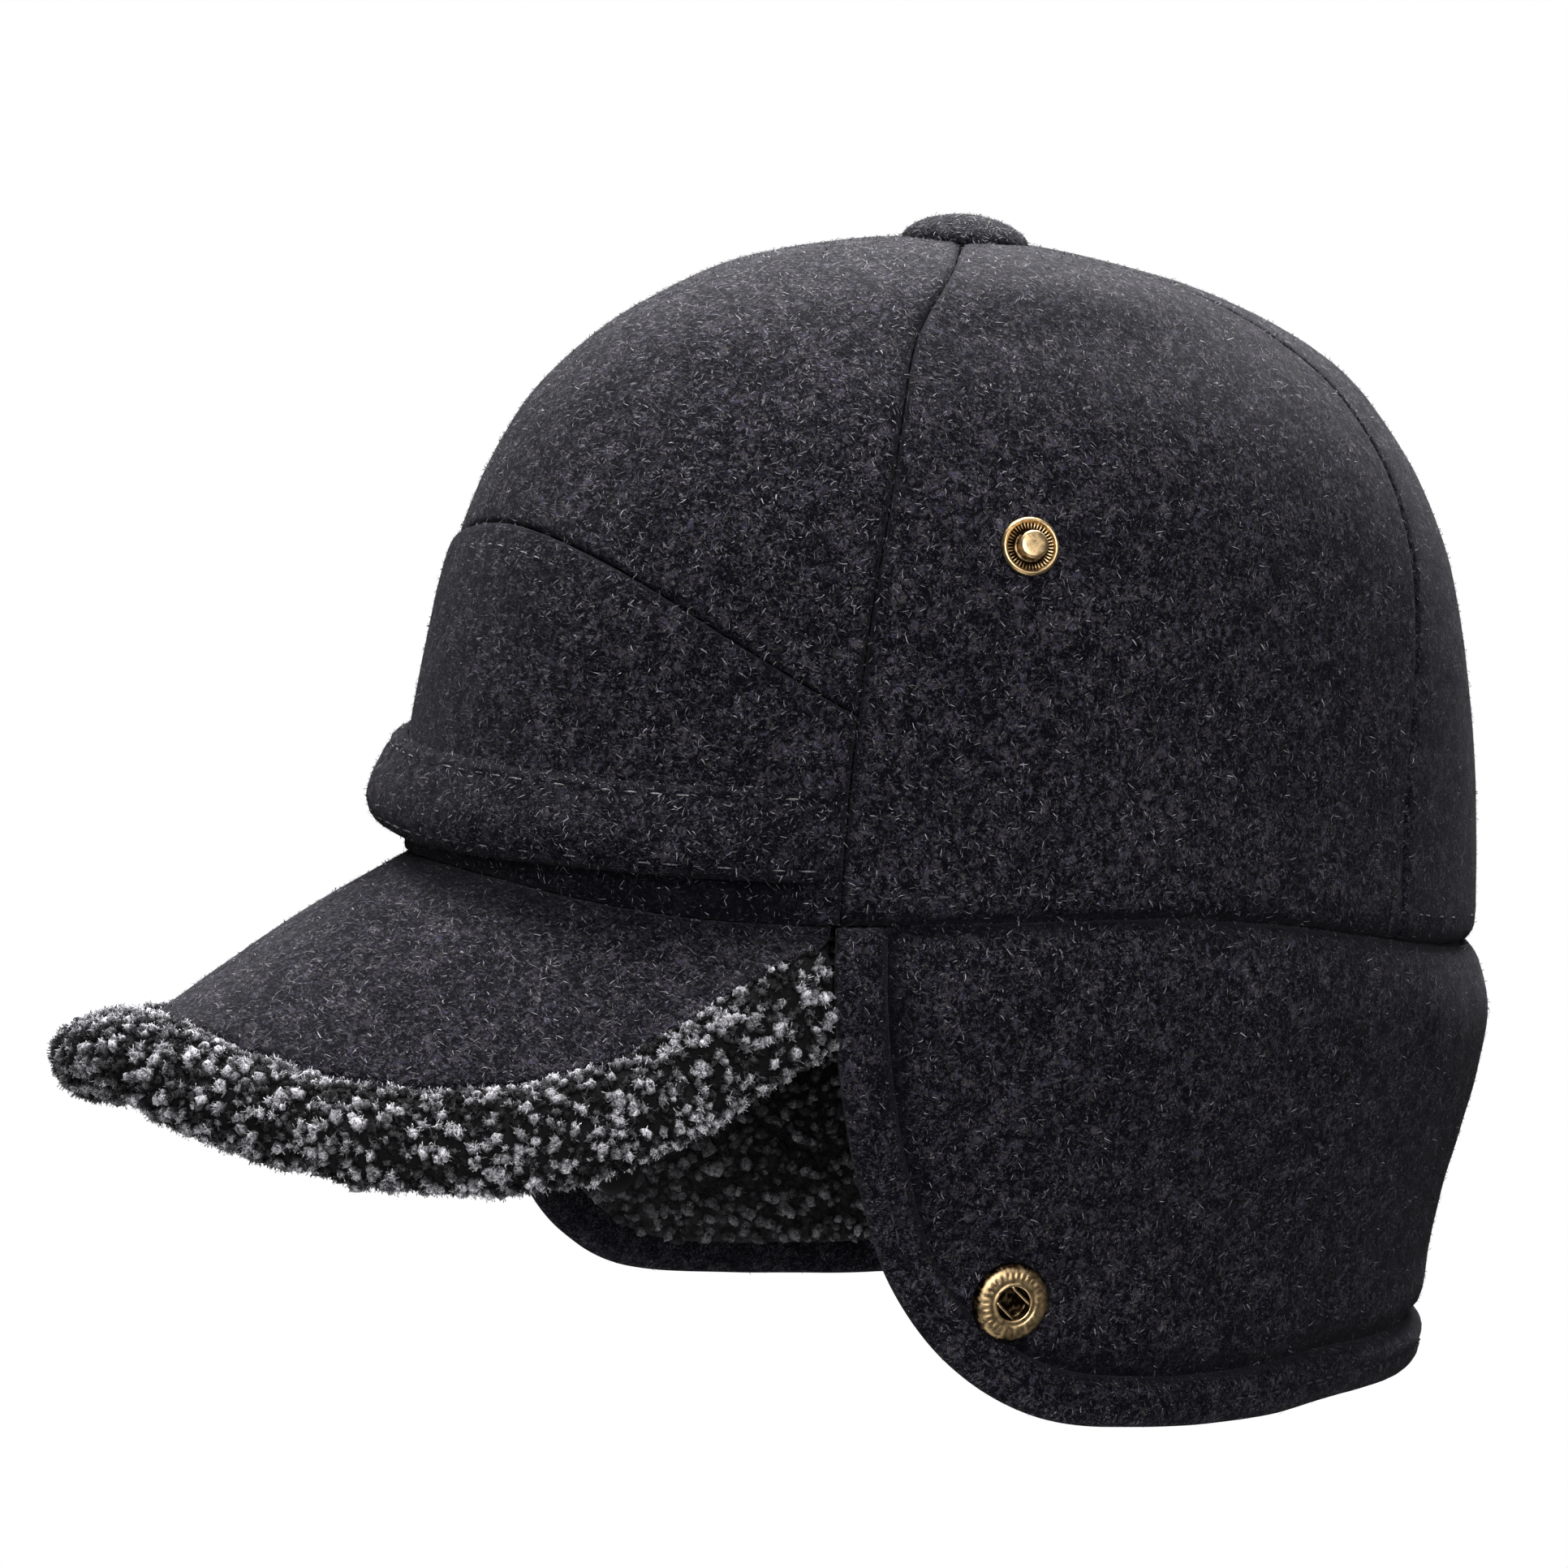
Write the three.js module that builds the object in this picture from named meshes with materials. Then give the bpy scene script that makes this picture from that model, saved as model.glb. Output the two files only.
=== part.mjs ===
// Winter baseball cap with a continuous ear and neck flap, in millimetres.
// +Z is up, the peak points towards -Y and the wearer's left is +X.
// The origin is the middle of the head opening, level with its sides.
import * as THREE from 'three';

// Crown: reaches from the axis at the rim, height over the rim's sides, and the cloth wall
const HALF_WIDTH = 86;
const FRONT_REACH = 103;
const BACK_REACH = 116.5;
const CROWN_HEIGHT = 117.7;
const CROWN_WALL = 3.2;
const SEAM_GAP = 0.35;
const STEM_HOLE_RADIUS = 3.4;
const DEGREE = Math.PI / 180;
const FULL_TURN = 360;

// How far the rim dips in front, behind and at the diagonals
const RIM_DIP_FRONT = 2.4;
const RIM_DIP_BACK = 9.8;
const RIM_SAG = 3.4;

// Seams, in degrees from the middle of the front
const SIDE_SEAM_ANGLE = 55;
const REAR_SEAM_ANGLE = 123;
const REAR_SEAM_LEAN_ANGLE = 12;
const LEAN_START_SHARE = 0.05;
const LEAN_END_SHARE = 0.75;

// Lower front panel and the padded band on it
const LOWER_PANEL_PROUD = 1;
const BAND_GAP = 0.35;
const BAND_PUFF = 5.4;
const BAND_END_PUFF = 2.4;
const BAND_END_ANGLE_GAP = 0.22;
const BAND_TAPER_POWER = 4;

// Peak: a stiff board in wool, with fleece under it that rolls round its edge
const BRIM_SPAN_ANGLE = 54;
const BRIM_END_LEAD = 2;
const BRIM_END_OUTSET = 1.9;
const BRIM_HALF_WIDTH = HALF_WIDTH * Math.sin(BRIM_SPAN_ANGLE * DEGREE) + BRIM_END_OUTSET;
const BRIM_END_FORWARD = FRONT_REACH * Math.cos(BRIM_SPAN_ANGLE * DEGREE) + BRIM_END_LEAD;
const BRIM_LENGTH = 47.5;
const BRIM_ROUNDNESS = 0.82;
const BRIM_DROP = 35.5;
const BRIM_WALL = 3;
const BRIM_BULGE = 2;
const FLEECE_WALL = 5;
const ROLL_WIDTH = 20.5;
const ROLL_DEPTH = 17.5;
const ROLL_SINK_SHARE = 0.21;
const BRIM_GAP = 0.4;

// Ear and neck flap: wool outside, fleece inside and a folded hem along the free edge
const FLAP_FRONT_ANGLE = 54.5;
const FLAP_DROP = 94.5;
const FLAP_PUFF = 3;
const FLAP_LEAN = 5.5;
const FLAP_WALL = 2.6;
const LINING_WALL = 4.6;
const HEM_WIDTH = 9.6;
const HEM_WALL = 6.4;
const HEM_PROUD = 0.9;
const FLAP_GAP = 0.4;

// Covered button on top
const BUTTON_RADIUS = 11.9;
const BUTTON_HEIGHT = 5.6;
const BUTTON_GAP = 0.4;
const STEM_RADIUS = 2.6;

// Snap fasteners: studs on the crown, sockets and inner caps on the flap
const STUD_ANGLE = 72;
const STUD_SHARE = 0.465;
const STUD_RADIUS = 5.4;
const STUD_RISE = 1.4;
const POST_RADIUS = 2.7;
const POST_RISE = 3.6;
const SOCKET_ANGLE = 76.5;
const SOCKET_DROP = 69.5;
const SOCKET_RADIUS = 7.3;
const SOCKET_RISE = 2.2;
const SOCKET_BORE_RADIUS = 3.1;
const CAP_RADIUS = 7.5;
const CAP_RISE = 2.4;
const SNAP_GAP = 0.35;

// Crown sections from rim to apex: each reach and the height as shares of the named sizes
const CROWN_ROWS = [
  { height: 0.000, front: 1.000, side: 1.000, back: 1.000 },
  { height: 0.150, front: 0.980, side: 0.968, back: 0.992 },
  { height: 0.300, front: 0.959, side: 0.952, back: 0.968 },
  { height: 0.450, front: 0.926, side: 0.936, back: 0.929 },
  { height: 0.600, front: 0.864, side: 0.895, back: 0.869 },
  { height: 0.740, front: 0.764, side: 0.790, back: 0.777 },
  { height: 0.860, front: 0.610, side: 0.620, back: 0.635 },
  { height: 0.955, front: 0.362, side: 0.425, back: 0.363 },
  { height: 1.000, front: 0.000, side: 0.000, back: 0.000 },
];

// From the middle of the front to the side seam: the chevron's edge and the band's two edges,
// as shares of the way up the crown's sections
const FRONT_ROWS = [
  { chevron: 0.432, bandLow: 0.018, bandHigh: 0.137 },
  { chevron: 0.419, bandLow: 0.026, bandHigh: 0.141 },
  { chevron: 0.383, bandLow: 0.039, bandHigh: 0.149 },
  { chevron: 0.323, bandLow: 0.047, bandHigh: 0.158 },
  { chevron: 0.251, bandLow: 0.049, bandHigh: 0.165 },
];

// Up the band from its lower edge: how far it stands out, as a share of its puff
const BAND_ROWS = [
  { out: 0.45 },
  { out: 1.00 },
  { out: 0.92 },
  { out: 0.66 },
  { out: 0.45 },
];

// Along the peak's edge from its middle to its end: drop as a share of the brim drop,
// the downward slope of the roll in degrees, and the roll's depth as a share
const BRIM_ROWS = [
  { drop: 0.915, slope: 10, depth: 1.00 },
  { drop: 0.981, slope: 22, depth: 1.00 },
  { drop: 1.000, slope: 32, depth: 1.00 },
  { drop: 0.820, slope: 48, depth: 0.92 },
  { drop: 0.200, slope: 76, depth: 0.60 },
];

// Free edge of the flap from the middle of the back to the top of its front edge:
// angle round the head in degrees, and drop as a share of the flap drop
const FLAP_ROWS = [
  { angle: 180.0, drop: 0.868 },
  { angle: 161.0, drop: 0.872 },
  { angle: 142.0, drop: 0.885 },
  { angle: 124.0, drop: 0.918 },
  { angle: 108.0, drop: 0.978 },
  { angle: 94.0, drop: 1.000 },
  { angle: 81.5, drop: 0.972 },
  { angle: 71.0, drop: 0.865 },
  { angle: 63.5, drop: 0.704 },
  { angle: 59.3, drop: 0.520 },
  { angle: 56.7, drop: 0.340 },
  { angle: 55.2, drop: 0.165 },
  { angle: 54.5, drop: 0.000 },
];
const CORNER_SHARE = 0.64;

// Down the flap: bulge as a share of its puff, and inward lean as a share of its lean
const FLAP_FORM_ROWS = [
  { puff: 0.00, lean: 0.00 },
  { puff: 1.00, lean: 0.00 },
  { puff: 0.95, lean: 0.05 },
  { puff: 0.65, lean: 0.20 },
  { puff: 0.30, lean: 0.45 },
  { puff: 0.05, lean: 0.70 },
  { puff: 0.00, lean: 0.92 },
  { puff: 0.00, lean: 1.00 },
  { puff: 0.00, lean: 0.80 },
];

// Section of the hem: how far in from the free edge, as a share of its width, and lift as a share of its wall
const HEM_ROWS = [
  { inward: 0.97, lift: -0.05 },
  { inward: 0.60, lift: 0.08 },
  { inward: 0.20, lift: 0.00 },
  { inward: 0.00, lift: -0.45 },
  { inward: 0.20, lift: -0.95 },
  { inward: 0.97, lift: -1.00 },
];

// Turned profiles: radius and height as shares of each piece's named sizes
const BUTTON_ROWS = [
  { radius: 0.92, height: 0.00 },
  { radius: 1.00, height: 0.16 },
  { radius: 0.95, height: 0.50 },
  { radius: 0.75, height: 0.80 },
  { radius: 0.40, height: 0.96 },
  { radius: 0.00, height: 1.00 },
];
const STUD_RING_ROWS = [
  { radius: 0.00, height: 0.00 },
  { radius: 0.85, height: 0.00 },
  { radius: 1.00, height: 0.45 },
  { radius: 0.88, height: 1.00 },
  { radius: 0.78, height: 0.60 },
];
const STUD_POST_ROWS = [
  { radius: 0.95, height: 0.20 },
  { radius: 1.00, height: 0.75 },
  { radius: 0.70, height: 1.00 },
  { radius: 0.00, height: 1.00 },
];
const SOCKET_RING_ROWS = [
  { radius: 0.00, height: 0.00 },
  { radius: 0.92, height: 0.00 },
  { radius: 1.00, height: 0.30 },
  { radius: 0.90, height: 0.75 },
  { radius: 0.70, height: 1.00 },
];
const SOCKET_BORE_ROWS = [
  { radius: 1.20, height: 1.00 },
  { radius: 1.00, height: 0.80 },
  { radius: 1.00, height: 0.25 },
  { radius: 0.00, height: 0.25 },
];
const SNAP_CAP_ROWS = [
  { radius: 0.00, height: 0.00 },
  { radius: 0.93, height: 0.00 },
  { radius: 1.00, height: 0.35 },
  { radius: 0.80, height: 0.80 },
  { radius: 0.00, height: 1.00 },
];

// Turns round the fleece roll's section in degrees, from its inner top edge to its underside
const ROLL_TURNS = [140, 105, 70, 35, 0, -35, -70, -105];

// Steps along a surface for its normal, and the shares between which the crown's is taken
const ANGLE_STEP = 0.4;
const SHARE_STEP = 0.002;
const DROP_STEP = 0.4;
const LOWEST_NORMAL_SHARE = 0.002;
const HIGHEST_NORMAL_SHARE = 0.996;
const BRIM_END_SHARE = 0.9999;
const BRIM_EDGE_STEP = 0.01;
const FLAP_EDGE_STEP = 0.02;
const HALVINGS = 30;

// Mesh steps
const PANEL_COLUMNS = 12;
const BACK_COLUMNS = 16;
const PANEL_ROWS = 16;
const UPPER_PANEL_ROWS = 12;
const BAND_COLUMNS = 24;
const LOWER_PANEL_ROWS = 7;
const BRIM_COLUMNS = 30;
const BRIM_STEPS = 4;
const FLAP_COLUMNS = 40;
const FLAP_STEPS = 8;
const LINING_STEPS = 6;
const HEM_COLUMNS = 64;
const ROUND_SIDES = 14;
const BUTTON_SIDES = 18;

const WOOL = { color: 0x2b2d35, roughness: 0.95, metalness: 0 };
const FLEECE = { color: 0x4a4b4e, roughness: 1, metalness: 0 };
const DARK_FLEECE = { color: 0x26272b, roughness: 1, metalness: 0 };
const BRASS = { color: 0x8d7442, roughness: 0.35, metalness: 1 };
const PLASTIC = { color: 0x101012, roughness: 0.4, metalness: 0 };

const cap = new THREE.Group();

function mix(from, to, share) {
  return from + (to - from) * share;
}

// One column of a table at a share of its length, on a smooth curve through its rows
function along(rows, column, share, beyond) {
  const last = rows.length - 1;
  const place = THREE.MathUtils.clamp(share, 0, 1) * last;
  const row = Math.min(Math.floor(place), last - 1);
  const t = place - row;
  const value = (index) => rows[index][column];
  const end = beyond === undefined ? 2 * value(last) - value(last - 1) : beyond;
  const before = row > 0 ? value(row - 1) : 2 * value(0) - value(1);
  const after = row + 2 <= last ? value(row + 2) : end;
  const here = value(row);
  const next = value(row + 1);
  const square = (2 * before - 5 * here + 4 * next - after) * t * t;
  const cube = (3 * here - before - 3 * next + after) * t * t * t;
  return 0.5 * (2 * here + (next - before) * t + square + cube);
}

// A table's column read from its first row in the middle outwards to both sides
function bothWays(rows, column, side) {
  const last = rows.length - 1;
  const mirrored = [...rows.slice(1).reverse(), ...rows];
  return along(mirrored, column, (side * last + last) / (2 * last));
}

function rimHeight(angle) {
  const forward = Math.cos(angle * DEGREE);
  const dip = forward > 0 ? RIM_DIP_FRONT : RIM_DIP_BACK;
  return -dip * forward ** 2 - RIM_SAG * Math.sin(2 * angle * DEGREE) ** 2;
}

function crownPoint(angle, share) {
  const last = CROWN_ROWS[CROWN_ROWS.length - 2];
  const height = along(CROWN_ROWS, 'height', share, last.height);
  const forward = Math.cos(angle * DEGREE);
  const reach = forward > 0
    ? FRONT_REACH * along(CROWN_ROWS, 'front', share, -last.front)
    : BACK_REACH * along(CROWN_ROWS, 'back', share, -last.back);
  const side = HALF_WIDTH * along(CROWN_ROWS, 'side', share, -last.side);
  return new THREE.Vector3(
    side * Math.sin(angle * DEGREE),
    -reach * forward,
    CROWN_HEIGHT * height + rimHeight(angle) * (1 - share) ** 2,
  );
}

// A point moved off a surface along its normal; the surface is a function of two values
function lifted(surface, a, b, stepA, stepB, lift) {
  const alongA = surface(a + stepA, b).sub(surface(a - stepA, b));
  const alongB = surface(a, b + stepB).sub(surface(a, b - stepB));
  const normal = alongA.cross(alongB).normalize();
  return surface(a, b).addScaledVector(normal, lift);
}

function crownAt(angle, share, lift) {
  const inside = THREE.MathUtils.clamp(share, LOWEST_NORMAL_SHARE, HIGHEST_NORMAL_SHARE);
  const here = lifted(crownPoint, angle, inside, ANGLE_STEP, SHARE_STEP, lift);
  return here.add(crownPoint(angle, share)).sub(crownPoint(angle, inside));
}

// A closed body from its corners and faces, turned so that its faces point out
function closedBody(corners, faces) {
  let volume = 0;
  for (const [a, b, c] of faces) {
    volume += corners[a].dot(new THREE.Vector3().crossVectors(corners[b], corners[c]));
  }
  const turned = volume < 0 ? faces.map(([a, b, c]) => [a, c, b]) : faces;
  const geometry = new THREE.BufferGeometry();
  geometry.setAttribute('position', new THREE.Float32BufferAttribute(corners.flatMap((p) => p.toArray()), 3));
  geometry.setIndex(turned.flat());
  geometry.computeVertexNormals();
  return geometry;
}

function quad(faces, a, b, c, d) {
  faces.push([a, b, c], [a, c, d]);
}

// A wall between an outer and an inner surface, each a function of two shares from 0 to 1
function wall(outer, inner, columns, rows) {
  const corners = [];
  const faces = [];
  const across = rows + 1;
  for (const surface of [outer, inner]) {
    for (let i = 0; i <= columns; i += 1) {
      for (let j = 0; j <= rows; j += 1) {
        corners.push(surface(i / columns, j / rows));
      }
    }
  }
  const back = (columns + 1) * across;
  const at = (i, j) => i * across + j;
  for (let i = 0; i < columns; i += 1) {
    for (let j = 0; j < rows; j += 1) {
      quad(faces, at(i, j), at(i + 1, j), at(i + 1, j + 1), at(i, j + 1));
      quad(faces, back + at(i, j), back + at(i, j + 1), back + at(i + 1, j + 1), back + at(i + 1, j));
    }
    quad(faces, at(i, 0), back + at(i, 0), back + at(i + 1, 0), at(i + 1, 0));
    quad(faces, at(i, rows), at(i + 1, rows), back + at(i + 1, rows), back + at(i, rows));
  }
  for (let j = 0; j < rows; j += 1) {
    quad(faces, at(0, j), at(0, j + 1), back + at(0, j + 1), back + at(0, j));
    quad(faces, at(columns, j), back + at(columns, j), back + at(columns, j + 1), at(columns, j + 1));
  }
  return closedBody(corners, faces);
}

// A body swept along a path: each station gives the same number of points round its section
function swept(section, stations) {
  const rings = [];
  for (let i = 0; i <= stations; i += 1) {
    rings.push(section(i / stations));
  }
  const corners = rings.flat();
  const faces = [];
  const around = rings[0].length;
  for (let i = 0; i < stations; i += 1) {
    for (let j = 0; j < around; j += 1) {
      const next = (j + 1) % around;
      quad(faces, i * around + j, (i + 1) * around + j, (i + 1) * around + next, i * around + next);
    }
  }
  for (const [ring, first] of [[0, true], [stations, false]]) {
    const flat = THREE.ShapeUtils.triangulateShape(flatten(rings[ring]), []);
    for (const [a, b, c] of flat) {
      const start = ring * around;
      faces.push(first ? [start + a, start + b, start + c] : [start + a, start + c, start + b]);
    }
  }
  return closedBody(corners, faces);
}

// A ring of points seen square to its own plane
function flatten(ring) {
  const normal = new THREE.Vector3();
  ring.forEach((point, index) => {
    normal.add(new THREE.Vector3().crossVectors(point, ring[(index + 1) % ring.length]));
  });
  normal.normalize();
  const right = ring[1].clone().sub(ring[0]).normalize();
  const up = new THREE.Vector3().crossVectors(normal, right);
  return ring.map((point) => new THREE.Vector2(point.dot(right), point.dot(up)));
}

function add(name, geometry, finish) {
  const mesh = new THREE.Mesh(geometry, new THREE.MeshStandardMaterial(finish));
  mesh.name = name;
  cap.add(mesh);
  return mesh;
}

// Sets a turned piece on a surface with its axis along the surface's normal
function seat(mesh, point, normal) {
  mesh.position.copy(point);
  mesh.quaternion.setFromUnitVectors(new THREE.Vector3(0, 0, 1), normal);
}

// A table of shares drawn out to a radius and a height
function profile(rows, radius, height) {
  return rows.map((row) => new THREE.Vector2(row.radius * radius, row.height * height));
}

function turned(outline, sides) {
  const geometry = new THREE.LatheGeometry(outline, sides);
  geometry.rotateX(Math.PI / 2);
  return geometry;
}

// Share of the way up at which the crown closes to a radius round its axis
function shareAtRadius(radius) {
  let low = 0.5;
  let high = 1;
  for (let step = 0; step < HALVINGS; step += 1) {
    const middle = (low + high) / 2;
    if (crownPoint(90, middle).x > radius) {
      low = middle;
    } else {
      high = middle;
    }
  }
  return (low + high) / 2;
}

const TOP_SHARE = shareAtRadius(STEM_HOLE_RADIUS);

// Degrees that half a seam gap takes at a height
function halfGap(angle, share) {
  const point = crownPoint(angle, share);
  return SEAM_GAP / 2 / Math.hypot(point.x, point.y) / DEGREE;
}

function rearSeam(share) {
  return REAR_SEAM_ANGLE + REAR_SEAM_LEAN_ANGLE * THREE.MathUtils.smoothstep(share, LEAN_START_SHARE, LEAN_END_SHARE);
}

function frontColumn(column, angle) {
  return bothWays(FRONT_ROWS, column, angle / SIDE_SEAM_ANGLE);
}

// A crown panel between two seam angles and two heights, each a function of the other
function crownPanel(fromAngle, toAngle, fromShare, toShare, columns, rows, proud = 0) {
  const place = (u, w) => {
    const middle = mix(fromAngle(0.5), toAngle(0.5), u);
    const share = mix(fromShare(middle), toShare(middle), w);
    const start = fromAngle(share);
    const end = toAngle(share);
    const angle = mix(start + halfGap(start, share), end - halfGap(end, share), u);
    return [angle, share];
  };
  const surface = (lift) => (u, w) => crownAt(...place(u, w), lift);
  return wall(surface(proud), surface(-CROWN_WALL), columns, rows);
}

function makeCrown() {
  const frontLeft = () => -SIDE_SEAM_ANGLE;
  const frontRight = () => SIDE_SEAM_ANGLE;
  const gapShare = SEAM_GAP / CROWN_HEIGHT;
  const chevron = (angle) => frontColumn('chevron', angle);
  const rim = () => 0;
  const top = () => TOP_SHARE;
  add('crown_front_upper', crownPanel(
    frontLeft, frontRight, (angle) => chevron(angle) + gapShare, top, BACK_COLUMNS, UPPER_PANEL_ROWS,
  ), WOOL);
  add('crown_front_lower', crownPanel(
    frontLeft, frontRight, rim, chevron, BACK_COLUMNS, LOWER_PANEL_ROWS, LOWER_PANEL_PROUD,
  ), WOOL);
  add('side_panel_left', crownPanel(
    frontRight, rearSeam, rim, top, PANEL_COLUMNS, PANEL_ROWS,
  ), WOOL);
  add('side_panel_right', crownPanel(
    (share) => -rearSeam(share), frontLeft, rim, top, PANEL_COLUMNS, PANEL_ROWS,
  ), WOOL);
  add('back_panel', crownPanel(
    rearSeam, (share) => FULL_TURN - rearSeam(share), rim, top, BACK_COLUMNS, PANEL_ROWS,
  ), WOOL);
}

function makeFrontBand() {
  const limit = SIDE_SEAM_ANGLE - BAND_END_ANGLE_GAP;
  const place = (u, w) => {
    const angle = mix(-limit, limit, u);
    return [angle, mix(frontColumn('bandLow', angle), frontColumn('bandHigh', angle), w)];
  };
  const base = LOWER_PANEL_PROUD + BAND_GAP;
  const outer = (u, w) => {
    const puff = mix(BAND_PUFF, BAND_END_PUFF, Math.abs(2 * u - 1) ** BAND_TAPER_POWER);
    return crownAt(...place(u, w), base + puff * along(BAND_ROWS, 'out', w));
  };
  const inner = (u, w) => crownAt(...place(u, w), base);
  add('front_band', wall(outer, inner, BAND_COLUMNS, BAND_ROWS.length - 1), WOOL);
}

function makeButton() {
  const stem = [
    new THREE.Vector2(0, -CROWN_WALL),
    new THREE.Vector2(STEM_RADIUS, -CROWN_WALL),
    new THREE.Vector2(STEM_RADIUS, BUTTON_GAP),
  ];
  const dome = profile(BUTTON_ROWS, BUTTON_RADIUS, BUTTON_HEIGHT);
  const button = add('top_button', turned([...stem, ...dome], BUTTON_SIDES), WOOL);
  button.position.z = CROWN_HEIGHT;
}

// Peak: the outline in plan, and the direction that the roll leaves it in
function brimEdge(side) {
  const turn = THREE.MathUtils.clamp(side, -BRIM_END_SHARE, BRIM_END_SHARE) * Math.PI / 2;
  const reach = FRONT_REACH + BRIM_LENGTH - BRIM_END_FORWARD;
  const x = BRIM_HALF_WIDTH * Math.sin(turn);
  const y = -BRIM_END_FORWARD - reach * Math.cos(turn) ** BRIM_ROUNDNESS;
  const z = -BRIM_DROP * bothWays(BRIM_ROWS, 'drop', side);
  return new THREE.Vector3(x, y, z);
}

function brimFrame(side) {
  const here = THREE.MathUtils.clamp(side, BRIM_EDGE_STEP - 1, 1 - BRIM_EDGE_STEP);
  const before = brimEdge(here - BRIM_EDGE_STEP);
  const after = brimEdge(here + BRIM_EDGE_STEP);
  const level = new THREE.Vector3(after.y - before.y, before.x - after.x, 0).normalize();
  const slope = bothWays(BRIM_ROWS, 'slope', side) * DEGREE;
  const out = level.clone().multiplyScalar(Math.cos(slope)).setZ(-Math.sin(slope));
  const up = level.clone().multiplyScalar(Math.sin(slope)).setZ(Math.cos(slope));
  return { out, up };
}

// The peak's top surface, from under the crown's wall to its edge, and layers below it
function brimPoint(side, share, depth) {
  const root = crownAt(side * BRIM_SPAN_ANGLE, 0, -CROWN_WALL);
  root.z = rimHeight(side * BRIM_SPAN_ANGLE) - BRIM_GAP - depth;
  const { out, up } = brimFrame(side);
  const under = up.setZ(up.z + 1).normalize();
  const edge = brimEdge(side).addScaledVector(under, -depth).addScaledVector(out, -BRIM_GAP);
  const point = root.lerp(edge, share);
  point.z += BRIM_BULGE * 4 * share * (1 - share) * (1 - side * side);
  return point;
}

function makeBrim() {
  const surface = (depth) => (u, w) => brimPoint(mix(-1, 1, u), w, depth);
  add('brim', wall(surface(0), surface(BRIM_WALL), BRIM_COLUMNS, BRIM_STEPS), WOOL);
}

function rollPoint(side, turn) {
  const { out, up } = brimFrame(side);
  const depth = ROLL_DEPTH * bothWays(BRIM_ROWS, 'depth', side);
  const point = brimEdge(side);
  point.addScaledVector(out, BRIM_GAP + ROLL_WIDTH / 2 * (1 + Math.cos(turn * DEGREE)));
  return point.addScaledVector(up, depth * (Math.sin(turn * DEGREE) / 2 - ROLL_SINK_SHARE));
}

function makeBrimFleece() {
  const shares = Array.from({ length: BRIM_STEPS + 1 }, (_, step) => step / BRIM_STEPS);
  add('brim_fleece', swept((u) => {
    const side = mix(-1, 1, u);
    const top = BRIM_WALL + BRIM_GAP;
    const { out, up } = brimFrame(side);
    const under = up.setZ(up.z + 1).normalize();
    const start = brimEdge(side).addScaledVector(under, -top).addScaledVector(out, BRIM_GAP);
    const ring = [start, ...ROLL_TURNS.map((turn) => rollPoint(side, turn))];
    [...shares].reverse().forEach((share) => ring.push(brimPoint(side, share, top + FLEECE_WALL)));
    shares.forEach((share) => ring.push(brimPoint(side, share, top)));
    return ring;
  }, BRIM_COLUMNS), FLEECE);
}

// Flap: a point at an angle round the head and a drop below the rim
function flapPoint(angle, drop) {
  const share = drop / FLAP_DROP;
  const puff = FLAP_PUFF * along(FLAP_FORM_ROWS, 'puff', share);
  const lean = FLAP_LEAN * along(FLAP_FORM_ROWS, 'lean', share);
  const forward = Math.cos(angle * DEGREE);
  const reach = (forward > 0 ? FRONT_REACH : BACK_REACH) + puff - lean;
  return new THREE.Vector3(
    (HALF_WIDTH + puff - lean) * Math.sin(angle * DEGREE),
    -reach * forward,
    rimHeight(angle) - FLAP_GAP - drop,
  );
}

function flapAt(angle, drop, lift) {
  return lifted(flapPoint, angle, drop, -ANGLE_STEP, DROP_STEP, lift);
}

// Length round the head of one degree, by which the free edge is offset evenly
const DEGREE_LENGTH = (FRONT_REACH + BACK_REACH + 2 * HALF_WIDTH) / 4 * DEGREE;

// The free edge, moved in over the flap by a distance
function flapEdge(share, inward) {
  const last = FLAP_ROWS.length - 1;
  const read = (at) => new THREE.Vector2(
    (along(FLAP_ROWS, 'angle', at) - FLAP_ROWS[last].angle + FLAP_FRONT_ANGLE) * DEGREE_LENGTH,
    along(FLAP_ROWS, 'drop', at) * FLAP_DROP,
  );
  const before = read(Math.max(share - FLAP_EDGE_STEP, 0));
  const after = read(Math.min(share + FLAP_EDGE_STEP, 1));
  const edge = read(share);
  const heading = after.sub(before).normalize();
  if (share === 0) {
    heading.set(-1, 0);
  }
  const angle = (edge.x - heading.y * inward) / DEGREE_LENGTH;
  const drop = edge.y + heading.x * inward;
  return { angle, drop: share === 1 ? 0 : Math.max(drop, 0) };
}

// The flap inside its hem: top line, lower edge, back line and front edge blended together
function flapPlace(side, down, inward) {
  const across = Math.abs(side);
  const frontTop = flapEdge(1, inward);
  const low = flapEdge(CORNER_SHARE * across, inward);
  const front = flapEdge(1 - (1 - CORNER_SHARE) * down, inward);
  const corner = flapEdge(CORNER_SHARE, inward);
  const back = flapEdge(0, inward);
  const blend = (top, bottom, left, right, farTop, farBottom, leftBottom) => (
    mix(top, bottom, down) + mix(left, right, across)
    - mix(mix(180, farTop, across), mix(leftBottom, farBottom, across), down)
  );
  const angle = blend(
    mix(180, frontTop.angle, across), low.angle, 180, front.angle, frontTop.angle, corner.angle, 180,
  );
  const drop = mix(0, low.drop, down) + mix(back.drop * down, front.drop, across)
    - mix(0, mix(back.drop, corner.drop, across), down);
  return { angle, drop };
}

function mirrored(side, point) {
  if (side > 0) {
    point.x = -point.x;
  }
  return point;
}

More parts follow.
